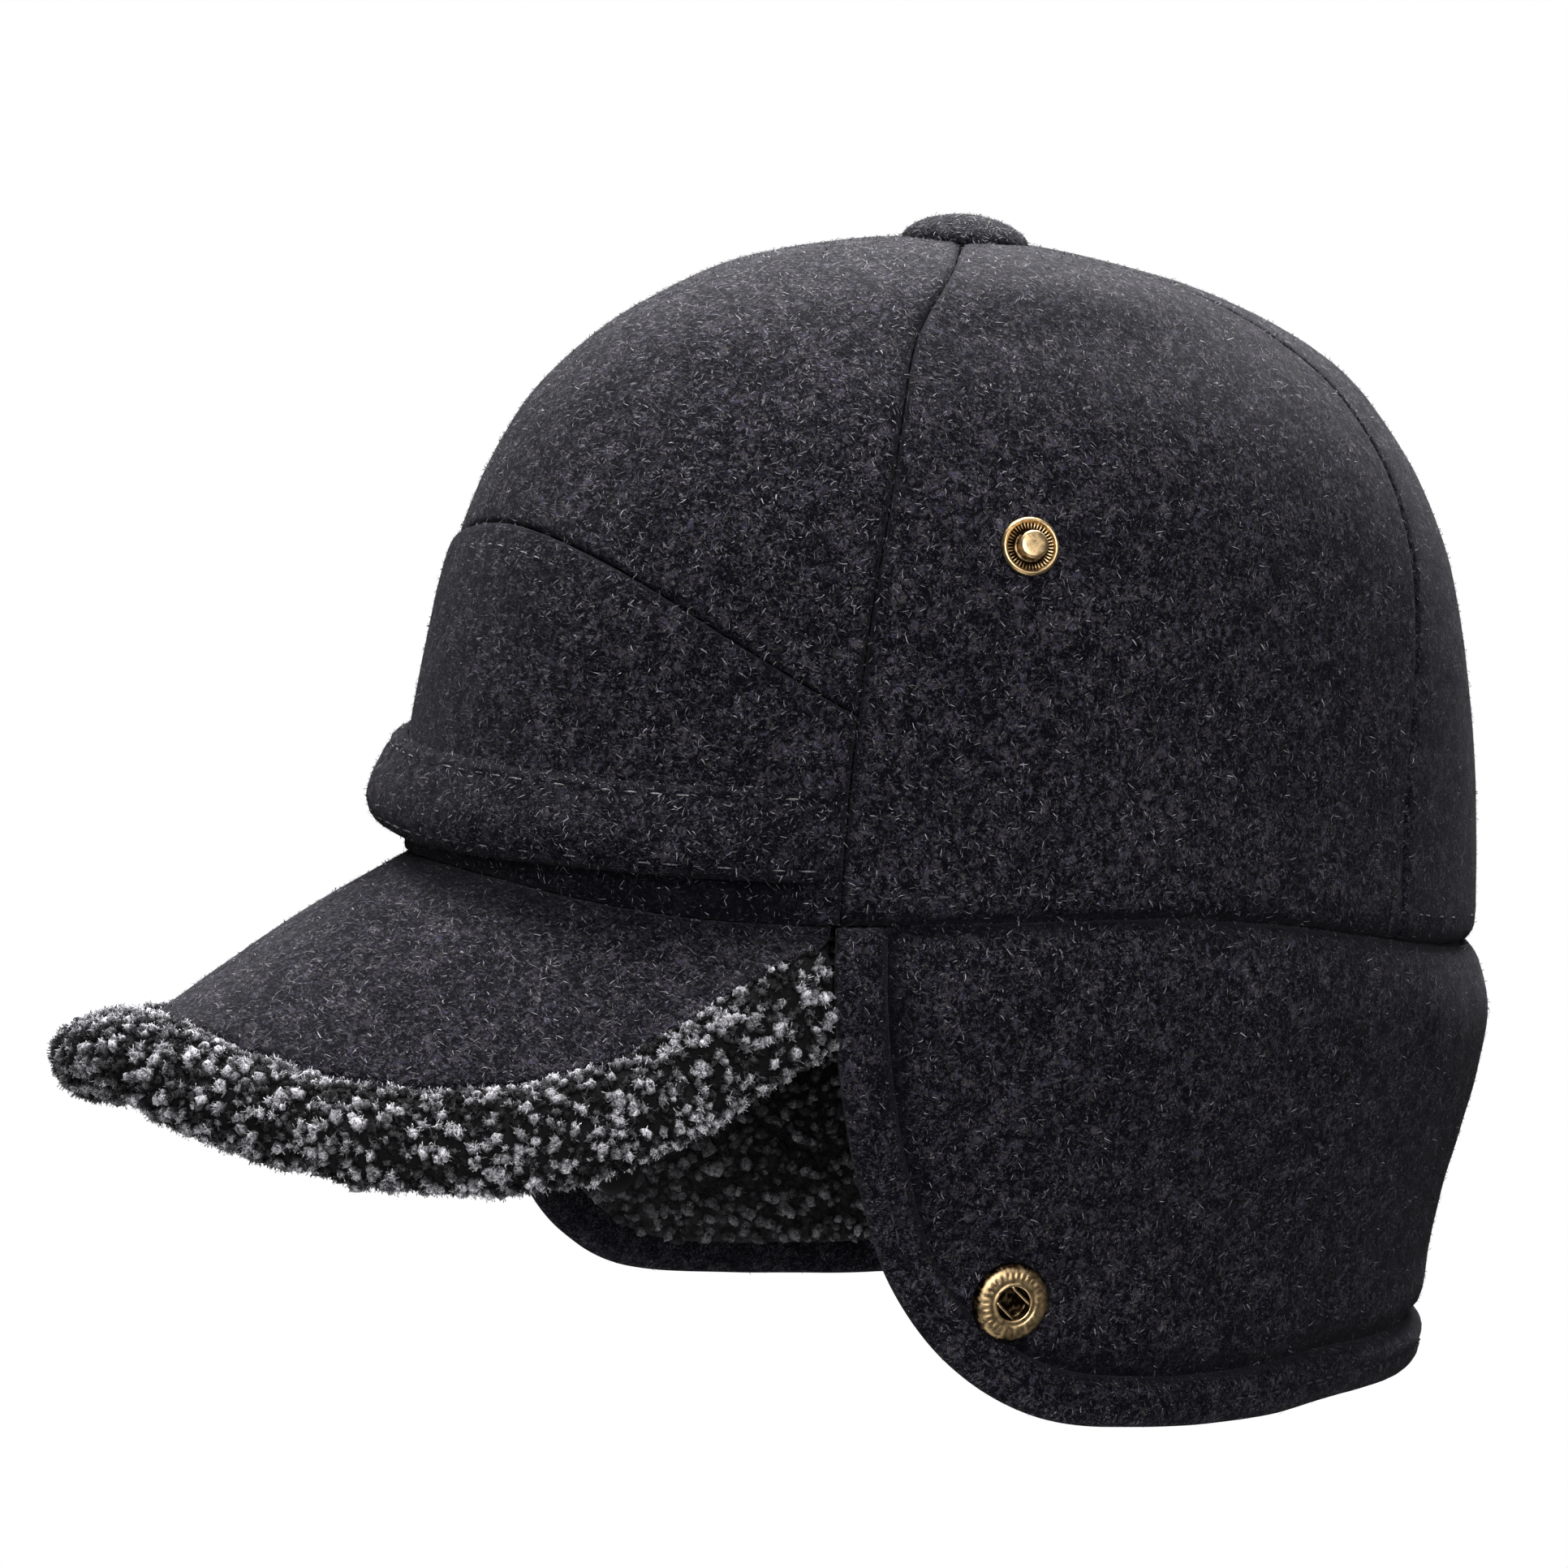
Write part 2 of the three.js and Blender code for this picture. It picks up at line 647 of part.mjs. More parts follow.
function flapSheet(inward, outerLift, innerLift, steps) {
  const surface = (lift) => (u, w) => {
    const side = mix(-1, 1, u);
    const { angle, drop } = flapPlace(side, w, inward);
    return mirrored(side, flapAt(angle, drop, lift));
  };
  return wall(surface(outerLift), surface(innerLift), FLAP_COLUMNS, steps);
}

function makeFlap() {
  const inward = HEM_WIDTH + FLAP_GAP;
  const liningTop = -FLAP_WALL - FLAP_GAP;
  add('ear_flap', flapSheet(inward, 0, -FLAP_WALL, FLAP_STEPS), WOOL);
  add('flap_lining', flapSheet(inward, liningTop, liningTop - LINING_WALL, LINING_STEPS), DARK_FLEECE);
  add('flap_hem', swept((u) => {
    const side = mix(-1, 1, u);
    return HEM_ROWS.map((corner) => {
      const { angle, drop } = flapEdge(Math.abs(side), corner.inward * HEM_WIDTH);
      return mirrored(side, flapAt(angle, drop, HEM_PROUD + corner.lift * HEM_WALL));
    });
  }, HEM_COLUMNS), WOOL);
}

function surfaceNormal(surface, a, b, stepA, stepB) {
  return lifted(surface, a, b, stepA, stepB, 1).sub(surface(a, b)).normalize();
}

function makeSnaps() {
  const stud = [
    ...profile(STUD_RING_ROWS, STUD_RADIUS, STUD_RISE),
    ...profile(STUD_POST_ROWS, POST_RADIUS, POST_RISE),
  ];
  const socket = [
    ...profile(SOCKET_RING_ROWS, SOCKET_RADIUS, SOCKET_RISE),
    ...profile(SOCKET_BORE_ROWS, SOCKET_BORE_RADIUS, SOCKET_RISE),
  ];
  const innerCap = profile(SNAP_CAP_ROWS, CAP_RADIUS, CAP_RISE);
  for (const [name, side] of [['left', 1], ['right', -1]]) {
    const onCrown = crownAt(STUD_ANGLE, STUD_SHARE, SNAP_GAP);
    const crownNormal = surfaceNormal(crownPoint, STUD_ANGLE, STUD_SHARE, ANGLE_STEP, SHARE_STEP);
    const onFlap = flapAt(SOCKET_ANGLE, SOCKET_DROP, HEM_PROUD + 2 * SNAP_GAP);
    const flapNormal = surfaceNormal(flapPoint, SOCKET_ANGLE, SOCKET_DROP, -ANGLE_STEP, DROP_STEP);
    const lift = -FLAP_WALL - FLAP_GAP - LINING_WALL - SNAP_GAP;
    const underFlap = flapAt(SOCKET_ANGLE, SOCKET_DROP, lift);
    const pieces = [
      ['stud', stud, BRASS, onCrown, crownNormal],
      ['socket', socket, BRASS, onFlap, flapNormal],
      ['snap_cap', innerCap, PLASTIC, underFlap, flapNormal.clone().negate()],
    ];
    for (const [piece, outline, finish, point, normal] of pieces) {
      point.x *= side;
      normal.x *= side;
      seat(add(`${piece}_${name}`, turned(outline, ROUND_SIDES), finish), point, normal);
    }
  }
}

makeCrown();
makeFrontBand();
makeButton();
makeBrim();
makeBrimFleece();
makeFlap();
makeSnaps();

export default cap;
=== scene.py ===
"""Looks of a winter cap: wool panels, padded band, fleece-edged peak, lined ear flap and press studs."""
import math

import bpy
import numpy as np
from mathutils import Matrix, Vector


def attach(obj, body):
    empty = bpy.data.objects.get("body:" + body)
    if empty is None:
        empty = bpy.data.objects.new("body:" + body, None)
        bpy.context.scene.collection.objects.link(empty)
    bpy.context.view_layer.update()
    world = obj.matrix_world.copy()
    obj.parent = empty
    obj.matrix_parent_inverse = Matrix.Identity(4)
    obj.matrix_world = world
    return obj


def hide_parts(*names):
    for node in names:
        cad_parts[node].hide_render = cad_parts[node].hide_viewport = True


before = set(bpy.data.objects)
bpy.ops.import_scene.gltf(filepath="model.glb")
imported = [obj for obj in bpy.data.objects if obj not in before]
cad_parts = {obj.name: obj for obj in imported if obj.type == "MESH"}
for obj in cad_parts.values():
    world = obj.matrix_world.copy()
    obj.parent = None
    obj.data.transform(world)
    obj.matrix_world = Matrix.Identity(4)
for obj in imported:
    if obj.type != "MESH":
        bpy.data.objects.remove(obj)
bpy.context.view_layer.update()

# Every length below is in millimetres, and meshes are written in metres
MM = 0.001
DEGREE = math.pi / 180

# Crown
HALF_WIDTH, FRONT_REACH, BACK_REACH = 86, 103, 116.5
CROWN_HEIGHT, CROWN_WALL, SEAM_GAP = 117.7, 3.2, 0.35
RIM_DIP_FRONT, RIM_DIP_BACK, RIM_SAG = 2.4, 9.8, 3.4
SIDE_SEAM, REAR_SEAM, REAR_SEAM_LEAN = 55, 123, 12
LOWER_PANEL_PROUD, BAND_GAP, BAND_PUFF, BAND_END_PUFF = 1, 0.35, 5.4, 2.4
STEM_HOLE_RADIUS = 3.4

# Peak
BRIM_SPAN, BRIM_END_LEAD, BRIM_END_OUTSET = 54, 2, 1.9
BRIM_HALF_WIDTH = HALF_WIDTH * math.sin(BRIM_SPAN * DEGREE) + BRIM_END_OUTSET
BRIM_END_FORWARD = FRONT_REACH * math.cos(BRIM_SPAN * DEGREE) + BRIM_END_LEAD
BRIM_LENGTH, BRIM_ROUNDNESS, BRIM_DROP = 47.5, 0.82, 35.5
BRIM_WALL, BRIM_BULGE, BRIM_GAP = 3, 2, 0.4
FLEECE_WALL, ROLL_WIDTH, ROLL_DEPTH = 5, 20.5, 17.5

# Ear and neck flap
FLAP_FRONT, FLAP_DROP, FLAP_PUFF, FLAP_LEAN = 54.5, 94.5, 3, 5.5
FLAP_WALL, LINING_WALL, FLAP_GAP = 2.6, 4.6, 0.4
HEM_WIDTH, HEM_WALL, HEM_PROUD = 9.6, 6.4, 0.9
CORNER_SHARE = 0.64

# Button and press studs
BUTTON_RADIUS, STEM_RADIUS, BUTTON_DRAPE = 11.9, 2.6, 1.25
STUD_ANGLE, STUD_SHARE = 72, 0.465
SOCKET_ANGLE, SOCKET_DROP, SNAP_GAP = 76.5, 69.5, 0.35

# Crown sections from rim to apex, as shares of the named sizes
CROWN_TABLE = {
    "height": (0.000, 0.150, 0.300, 0.450, 0.600, 0.740, 0.860, 0.955, 1.000),
    "front": (1.000, 0.980, 0.959, 0.926, 0.864, 0.764, 0.610, 0.362, 0.000),
    "side": (1.000, 0.968, 0.952, 0.936, 0.895, 0.790, 0.620, 0.425, 0.000),
    "back": (1.000, 0.992, 0.968, 0.929, 0.869, 0.777, 0.635, 0.363, 0.000),
}
# From the middle of the front to the side seam, as shares of the way up the crown
FRONT_TABLE = {
    "chevron": (0.432, 0.419, 0.383, 0.323, 0.251),
    "band_low": (0.018, 0.026, 0.039, 0.047, 0.049),
    "band_high": (0.137, 0.141, 0.149, 0.158, 0.165),
}
# Up the band: how far it stands out, as a share of its puff
BAND_OUT = (0.80, 1.00, 0.93, 0.70, 0.50)
# Along the peak's edge from its middle to its end
BRIM_TABLE = {
    "drop": (0.915, 0.981, 1.000, 0.820, 0.200),
    "slope": (10, 22, 32, 48, 76),
    "depth": (1.00, 1.00, 1.00, 0.92, 0.60),
}
# Free edge of the flap from the middle of the back to the top of its front edge
FLAP_TABLE = {
    "angle": (180, 161, 142, 124, 108, 94, 81.5, 71, 63.5, 59.3, 56.7, 55.2, 54.5),
    "drop": (0.868, 0.872, 0.885, 0.918, 0.978, 1.000, 0.972, 0.865, 0.704, 0.520, 0.340, 0.165, 0.000),
}
# Down the flap: bulge and inward lean as shares of theirs
FLAP_FORM = {
    "puff": (0.00, 1.00, 0.95, 0.65, 0.30, 0.05, 0.00, 0.00, 0.00),
    "lean": (0.00, 0.00, 0.05, 0.20, 0.45, 0.70, 0.92, 1.00, 0.80),
}

# The photograph's view: the cap tipped back, and the camera round it
PHOTO_PIXELS = 1932
TIP, AZIMUTH, ELEVATION = 5.0, 59.5, 8.3
DISTANCE, PIXELS_PER_MM = 1400.0, 6.546
AIM = (0.0, -29.4, 15.8)

# Radius and depth of the quarter rounds that turn a panel's edges in, and how narrow a side round may be as a
# share of a narrow panel's width
SIDE_ROLL, RIM_ROLL, CHEVRON_ROLL, NARROW_SHARE = (2.2, 1.3), (4.5, 2.6), (1.8, 0.9), 0.2
# Painted shade in the creases, round the button and at the peak's root: how dark each is, from 0 to 1, and how
# far it reaches, the peak's as a share of the peak's length
SIDE_SEAM_SHADE, RIM_SEAM_SHADE, BUTTON_SHADOW, STITCH_SHADE = (0.9, 0.8), (0.92, 2.2), (0.7, 0.8), (0.45, 0.6)
BAND_EDGE_SHADE, DOME_FOOT_SHADE, PEAK_ROOT_SHADE = (0.6, 0.6), (0.55, 1.4), (0.5, 0.16)
FLAP_SEAM_SHADE, HEM_SHADE = (0.95, 2.5), (0.92, 3.0)
# The chevron's painted shade is fainter at the front's middle: how dark there, at its sides and from what
# angle on
CHEVRON_SHADE, CHEVRON_FULL_ANGLE, CHEVRON_REACH = (0.3, 0.85), 25, 0.7
# Swells of a panel's cloth: depth and size of the broad and the fine ones, and where seams hold them flat
PANEL_SWELL, PANEL_RIPPLE, SEAM_HOLD = (0.28, 38), (0.07, 9), 6
# The lower panel is pressed in under the band: how deep, from where to where it fades out, and how dark the
# painted shadow over it is
BAND_BED, BED_SHARES, BED_ANGLES, BED_SHADE = 2.6, (1.1, 1.6), (48, 55), 0.9
# The sides' and back's stitched rim: its distance up, the groove under its thread, and the puckers round it
RIM_STITCH, RIM_GROOVE, RIM_PUCKER, PUCKER_LENGTH = 3.8, (-0.3, 0.55), (0.10, 2.2), 4.1
# The band's rows of thread: distance from its upper and its lower edge, and how wide their grooves are
BAND_STITCH_HIGH, BAND_STITCH_LOW, BAND_GROOVE = 2.3, 1.7, 0.8
BAND_SIDE_GAP, BAND_EDGE_BEND = 0.25, 1.6
# The rear seams are pressed flatter than the front ones
REAR_SEAM_DEPTH = 0.5

# First seed of each piece's random draws
PANEL_SEED, BAND_SEED, BUTTON_SEED, PEAK_SEED, ROLL_SEED = 11, 21, 31, 41, 51
TUFT_SEED, UNDER_SEED, FLAP_SEED, LINING_SEED, HEM_SEED, FIBRE_SEED = 61, 71, 81, 91, 101, 200

# Loose fibres on each piece, and their length and width
FIBRE_COUNTS = {
    "front_upper": 11500, "front_lower": 5000, "side_left": 9000, "side_right": 9000, "back": 9000,
    "band": 3600, "button": 1000, "peak": 5200, "flap": 13000, "hem": 4200,
}
FIBRE_LENGTH, FIBRE_WIDTH = (0.5, 1.8), (0.09, 0.17)

# Distance between tufts on the roll, under the peak and on the flap's lining
ROLL_SPACING, UNDER_SPACING, LINING_SPACING = 1.62, 2.3, 2.2
# The roll's three piles: the stations round the peak that each covers
ROLL_PILES = {
    "left": (95, 150),
    "middle": (54, 97),
    "right": (0, 56),
}
ROLL_STATIONS = 150

# Rows of stitches: distance from one to the next, length, thread radius and how deep they sink in
STITCHES = {
    "band": {"pitch": 5.0, "length": 3.0, "radius": 0.15, "sink": 0.15},
    "chevron": {"pitch": 4.2, "length": 2.4, "radius": 0.14, "sink": 0.12},
    "edge": {"pitch": 3.4, "length": 2.5, "radius": 0.22, "sink": 0.15},
}

# Profiles turned round an axis, from the middle of the foot round to the middle of the top
STUD_PROFILE = {
    "radius": (.3, 4.6, 5.25, 5.4, 5.2, 4.85, 4.5, 4.3, 3.9, 3.3, 2.8, 2.35, 2.3, 2.5, 2.6, 2.45, 1.9, .9, .2),
    "height": (0, 0, .2, .65, 1.15, 1.4, 1.2, .75, .66, .52, .3, .5, 1.8, 2.5, 3, 3.4, 3.58, 3.6, 3.6),
}
SOCKET_PROFILE = {
    "radius": (0.3, 6.6, 7.1, 7.3, 7.15, 6.7, 6.0, 5.2, 4.5, 4.1, 3.8, 3.45, 3.15, 3.1, 3.1, 2.6, 1.4, 0.2),
    "height": (0, 0, 0.15, 0.6, 1.15, 1.65, 1.95, 2.1, 2.2, 2.05, 2.1, 2.2, 2.0, 1.5, 0.5, 0.3, 0.3, 0.3),
}
CAP_PROFILE = {
    "radius": (0.3, 6.9, 7.4, 7.5, 7.1, 6.0, 4.0, 2.0, 0.2),
    "height": (0, 0, 0.35, 0.9, 1.5, 2.05, 2.33, 2.4, 2.4),
}
# Ribs of a stud and beads of a socket: how many, how high, how sharp, and the radii where they rise and end
STUD_RIBS = {"count": 40, "height": 0.2, "sharp": 2, "start": (3.0, 3.2), "end": (4.3, 4.5)}
SOCKET_BEADS = {"count": 30, "height": 0.10, "sharp": 3, "start": (4.7, 4.95), "end": (5.75, 6.0)}
# Spring wires across a socket's mouth: how far from its middle, height, radius, turn, and reach of their ends
SPRING_OFFSETS, SPRING_HEIGHT, SPRING_RADIUS, SPRING_TURN, SPRING_REACH = (-2.0, 2.0), 1.75, 0.25, 38, 3.3


def mix(start, end, share):
    return start + (end - start) * share


def unit(vectors):
    return vectors / np.maximum(np.linalg.norm(vectors, axis=-1, keepdims=True), 1e-9)


def along(values, share, beyond=None):
    """A table's column at shares of its length, on a smooth curve through its rows."""
    values = np.asarray(values, float)
    last = len(values) - 1
    end = 2 * values[-1] - values[-2] if beyond is None else beyond
    padded = np.concatenate([[2 * values[0] - values[1]], values, [end]])
    place = np.clip(np.asarray(share, float), 0, 1) * last
    row = np.minimum(place.astype(int), last - 1)
    t = place - row
    before, here, following, after = (padded[row + step] for step in range(4))
    square = (2 * before - 5 * here + 4 * following - after) * t ** 2
    cube = (3 * here - before - 3 * following + after) * t ** 3
    return 0.5 * (2 * here + (following - before) * t + square + cube)


def both_ways(values, side):
    """A column read from its first row in the middle out to both sides, from -1 to 1."""
    values = np.asarray(values, float)
    return along(np.concatenate([values[:0:-1], values]), (np.asarray(side) + 1) / 2)


def bell(distance, height, reach):
    """A height at distance 0 that fades out smoothly over a reach."""
    return height * np.exp(-(distance / reach) ** 2)


def smooth_step(value, low, high):
    share = np.clip((value - low) / (high - low), 0, 1)
    return share * share * (3 - 2 * share)


def waves(points, size, seed):
    """Gentle uneven relief from -1 to 1 with swells about size mm long."""
    rng = np.random.default_rng(seed)
    total = np.zeros(points.shape[:-1])
    swells = 7
    for _ in range(swells):
        heading = unit(rng.normal(size=3)) * (2 * math.pi / size) * rng.uniform(0.6, 1.5)
        total += np.sin(points @ heading + rng.uniform(0, 2 * math.pi))
    return total / swells * 1.6


# Crown surface

def rim_height(angle):
    forward = np.cos(angle * DEGREE)
    dip = np.where(forward > 0, RIM_DIP_FRONT, RIM_DIP_BACK)
    return -dip * forward ** 2 - RIM_SAG * np.sin(2 * angle * DEGREE) ** 2


def crown_point(angle, share):
    angle, share = np.broadcast_arrays(np.asarray(angle, float), np.asarray(share, float))
    reach = {}
    for name in ("front", "side", "back"):
        column = CROWN_TABLE[name]
        reach[name] = along(column, share, -column[-2])
    height = along(CROWN_TABLE["height"], share, CROWN_TABLE["height"][-2])
    forward = np.cos(angle * DEGREE)
    depth = np.where(forward > 0, FRONT_REACH * reach["front"], BACK_REACH * reach["back"])
    x = HALF_WIDTH * reach["side"] * np.sin(angle * DEGREE)
    z = CROWN_HEIGHT * height + rim_height(angle) * (1 - share) ** 2
    return np.stack([x, -depth * forward, z], -1)


def normal_of(surface, a, b, step_a, step_b):
    along_a = surface(a + step_a, b) - surface(a - step_a, b)
    along_b = surface(a, b + step_b) - surface(a, b - step_b)
    return unit(np.cross(along_a, along_b))


def crown_normal(angle, share):
    return normal_of(crown_point, angle, np.clip(share, 0.002, 0.996), 0.4, 0.002)


def crown_at(angle, share, lift):
    angle, share = np.broadcast_arrays(np.asarray(angle, float), np.asarray(share, float))
    return crown_point(angle, share) + crown_normal(angle, share) * np.asarray(lift)[..., None]


def share_at_radius(radius):
    low, high = 0.5, 1.0
    for _ in range(30):
        middle = (low + high) / 2
        if crown_point(90, middle)[0] > radius:
            low = middle
        else:
            high = middle
    return low


TOP_SHARE = share_at_radius(STEM_HOLE_RADIUS)


def rear_seam(share):
    return REAR_SEAM + REAR_SEAM_LEAN * smooth_step(share, 0.05, 0.75)


def front_column(name, angle):
    return both_ways(FRONT_TABLE[name], np.clip(angle / SIDE_SEAM, -1, 1))


# Meshes

def make_piece(name, points, faces, material, replaces=()):
    """A mesh object from points in mm and rows of corner numbers, riding on the cap."""
    mesh = bpy.data.meshes.new(name)
    points = np.asarray(points, float).reshape(-1, 3) * MM
    corners = sum(len(block) * block.shape[1] for block in faces)
    count = sum(len(block) for block in faces)
    mesh.vertices.add(len(points))
    mesh.vertices.foreach_set("co", points.astype(np.float32).ravel())
    mesh.loops.add(corners)
    mesh.polygons.add(count)
    starts, totals, loops = [], [], []
    at = 0
    for block in faces:
        size = block.shape[1]
        starts.append(at + np.arange(len(block)) * size)
        totals.append(np.full(len(block), size))
        loops.append(block.ravel())
        at += block.size
    mesh.loops.foreach_set("vertex_index", np.concatenate(loops).astype(np.int32))
    mesh.polygons.foreach_set("loop_start", np.concatenate(starts).astype(np.int32))
    mesh.polygons.foreach_set("loop_total", np.concatenate(totals).astype(np.int32))
    mesh.update(calc_edges=True)
    mesh.validate()
    mesh.polygons.foreach_set("use_smooth", np.full(len(mesh.polygons), True))
    piece = bpy.data.objects.new(name, mesh)
    bpy.context.scene.collection.objects.link(piece)
    mesh.materials.append(material)
    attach(piece, "root")
    if replaces:
        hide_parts(*replaces)
    return piece


def paint(piece, name, values):
    """One number for each corner point, kept on the mesh for its material."""
    layer = piece.data.attributes.new(name, "FLOAT", "POINT")
    layer.data.foreach_set("value", np.asarray(values, np.float32).ravel())


def grid_quads(index):
    quads = np.stack([index[:-1, :-1], index[1:, :-1], index[1:, 1:], index[:-1, 1:]], -1)
    return quads.reshape(-1, 4)


def edge_quads(outer, inner):
    return np.stack([outer[:-1], inner[:-1], inner[1:], outer[1:]], -1)


def shell_faces(outer):
    """Faces of a closed wall whose inner grid's points follow the outer grid's."""
    columns, rows = outer.shape[:2]
    front = np.arange(columns * rows).reshape(columns, rows)
    back = front + columns * rows
    sides = [
        edge_quads(front[:, 0], back[:, 0]),
        edge_quads(back[:, -1], front[:, -1]),
        edge_quads(back[0], front[0]),
        edge_quads(front[-1], back[-1]),
    ]
    return [np.concatenate([grid_quads(front), grid_quads(back)[:, ::-1], *sides])]


def make_wall(name, outer, inner, material, replaces=()):
    points = np.concatenate([outer.reshape(-1, 3), inner.reshape(-1, 3)])
    return make_piece(name, points, shell_faces(outer), material, replaces)


def make_cloth(name, outer, inner, crease_shade, inner_shade, replaces):
    """A wool wall, with painted shade: how dark its creases are outside, and one darkness inside."""
    cloth = make_wall(name, outer, inner, WOOL, replaces)
    paint(cloth, "crease_shade", np.concatenate([crease_shade, np.full(crease_shade.shape, inner_shade)]))
    return cloth


def swept_faces(stations, around):
    """Faces of a closed sweep, all looking outward: rings of points, and a fan of faces at each end."""
    index = np.arange(stations * around).reshape(stations, around)
    wrapped = np.concatenate([index, index[:, :1]], 1)
    first, last = stations * around, stations * around + 1
    start = np.stack([np.roll(index[0], -1), index[0], np.full(around, first)], -1)
    end = np.stack([index[-1], np.roll(index[-1], -1), np.full(around, last)], -1)
    return [grid_quads(wrapped)[:, [0, 3, 2, 1]], np.concatenate([start, end])]


def make_sweep(name, rings, material, replaces=()):
    stations, around = rings.shape[:2]
    points = np.concatenate([rings.reshape(-1, 3), rings[:1].mean(1), rings[-1:].mean(1)])
    return make_piece(name, points, swept_faces(stations, around), material, replaces)


def dense_shares(middle, edge_steps=5, edge_share=0.03):
    """Shares from 0 to 1 that lie closer together near both ends."""
    near = np.linspace(0, edge_share, edge_steps + 1)[:-1]
    inside = np.linspace(edge_share, 1 - edge_share, middle)
    return np.concatenate([near, inside, 1 - near[::-1]])


def edge_distances(points):
    """Distances in mm over a grid of points from its first and last column and row."""
    found = []
    for axis in (0, 1):
        steps = np.linalg.norm(np.diff(points, axis=axis), axis=-1)
        start = np.cumsum(np.insert(steps, 0, 0, axis=axis), axis=axis)
        whole = np.take(start, [-1], axis=axis)
        found += [start, whole - start]
    return found


def rolled(distance, radius, depth):
    """How far an edge turns in at a distance from it, as a quarter round."""
    near = np.clip(1 - distance / radius, 0, 1)
    return -depth * (1 - np.sqrt(1 - near ** 2))


# Scattered fibres and curls

def scatter(surface, count, rng):
    """Points spread evenly by area over a grid surface, with normals and the way along it."""
    a, b, c, d = surface[:-1, :-1], surface[1:, :-1], surface[1:, 1:], surface[:-1, 1:]
    cross = np.cross(c - a, d - b)
    area = np.linalg.norm(cross, axis=-1).ravel()
    upto = np.cumsum(area) / area.sum()
    cell = np.minimum(np.searchsorted(upto, (np.arange(count) + rng.random(count)) / count), area.size - 1)
    u, v = rng.random((2, count, 1))
    corner = [grid.reshape(-1, 3)[cell] for grid in (a, b, c, d)]
    point = mix(mix(corner[0], corner[1], u), mix(corner[3], corner[2], u), v)
    normal = unit(cross.reshape(-1, 3)[cell])
    heading = unit(corner[1] - corner[0])
    return point, normal, heading


# A sliver of wool has two corners at its root, two at its middle and one at its tip
SLIVER_CORNERS = 5


def sliver_faces(count, start=0):
    first = start + np.arange(count)[:, None] * SLIVER_CORNERS
    return first + np.array([0, 1, 3, 2]), first + np.array([2, 3, 4])


def make_fibres(name, surface, count, seed):
    """Loose wool fibres on a surface, each a bent sliver of two faces."""
    rng = np.random.default_rng(seed)
    root, normal, heading = scatter(surface, count, rng)
    across = np.cross(normal, heading)
    turn = rng.uniform(0, 2 * math.pi, (count, 1))
    way = heading * np.cos(turn) + across * np.sin(turn)
    side = np.cross(normal, way)
    long = rng.uniform(*FIBRE_LENGTH, (count, 1))
    wide = rng.uniform(*FIBRE_WIDTH, (count, 1))
    rise = rng.uniform(0.02, 0.45, (count, 1)) ** 1.5
    bend = rng.normal(0, 0.22, (count, 1))
    middle = root + way * long * 0.55 + normal * long * rise + side * bend * long * 0.25
    tip = root + way * long + normal * long * rise * 1.3 + side * bend * long
    start = root - normal * 0.05
    points = np.stack([
        start - side * wide / 2, start + side * wide / 2,
        middle - side * wide / 2, middle + side * wide / 2, tip,
    ], 1)
    piece = make_piece(name, points, sliver_faces(count), FIBRE)
    paint(piece, "shade", np.repeat(rng.beta(0.5, 2.4, count), SLIVER_CORNERS))


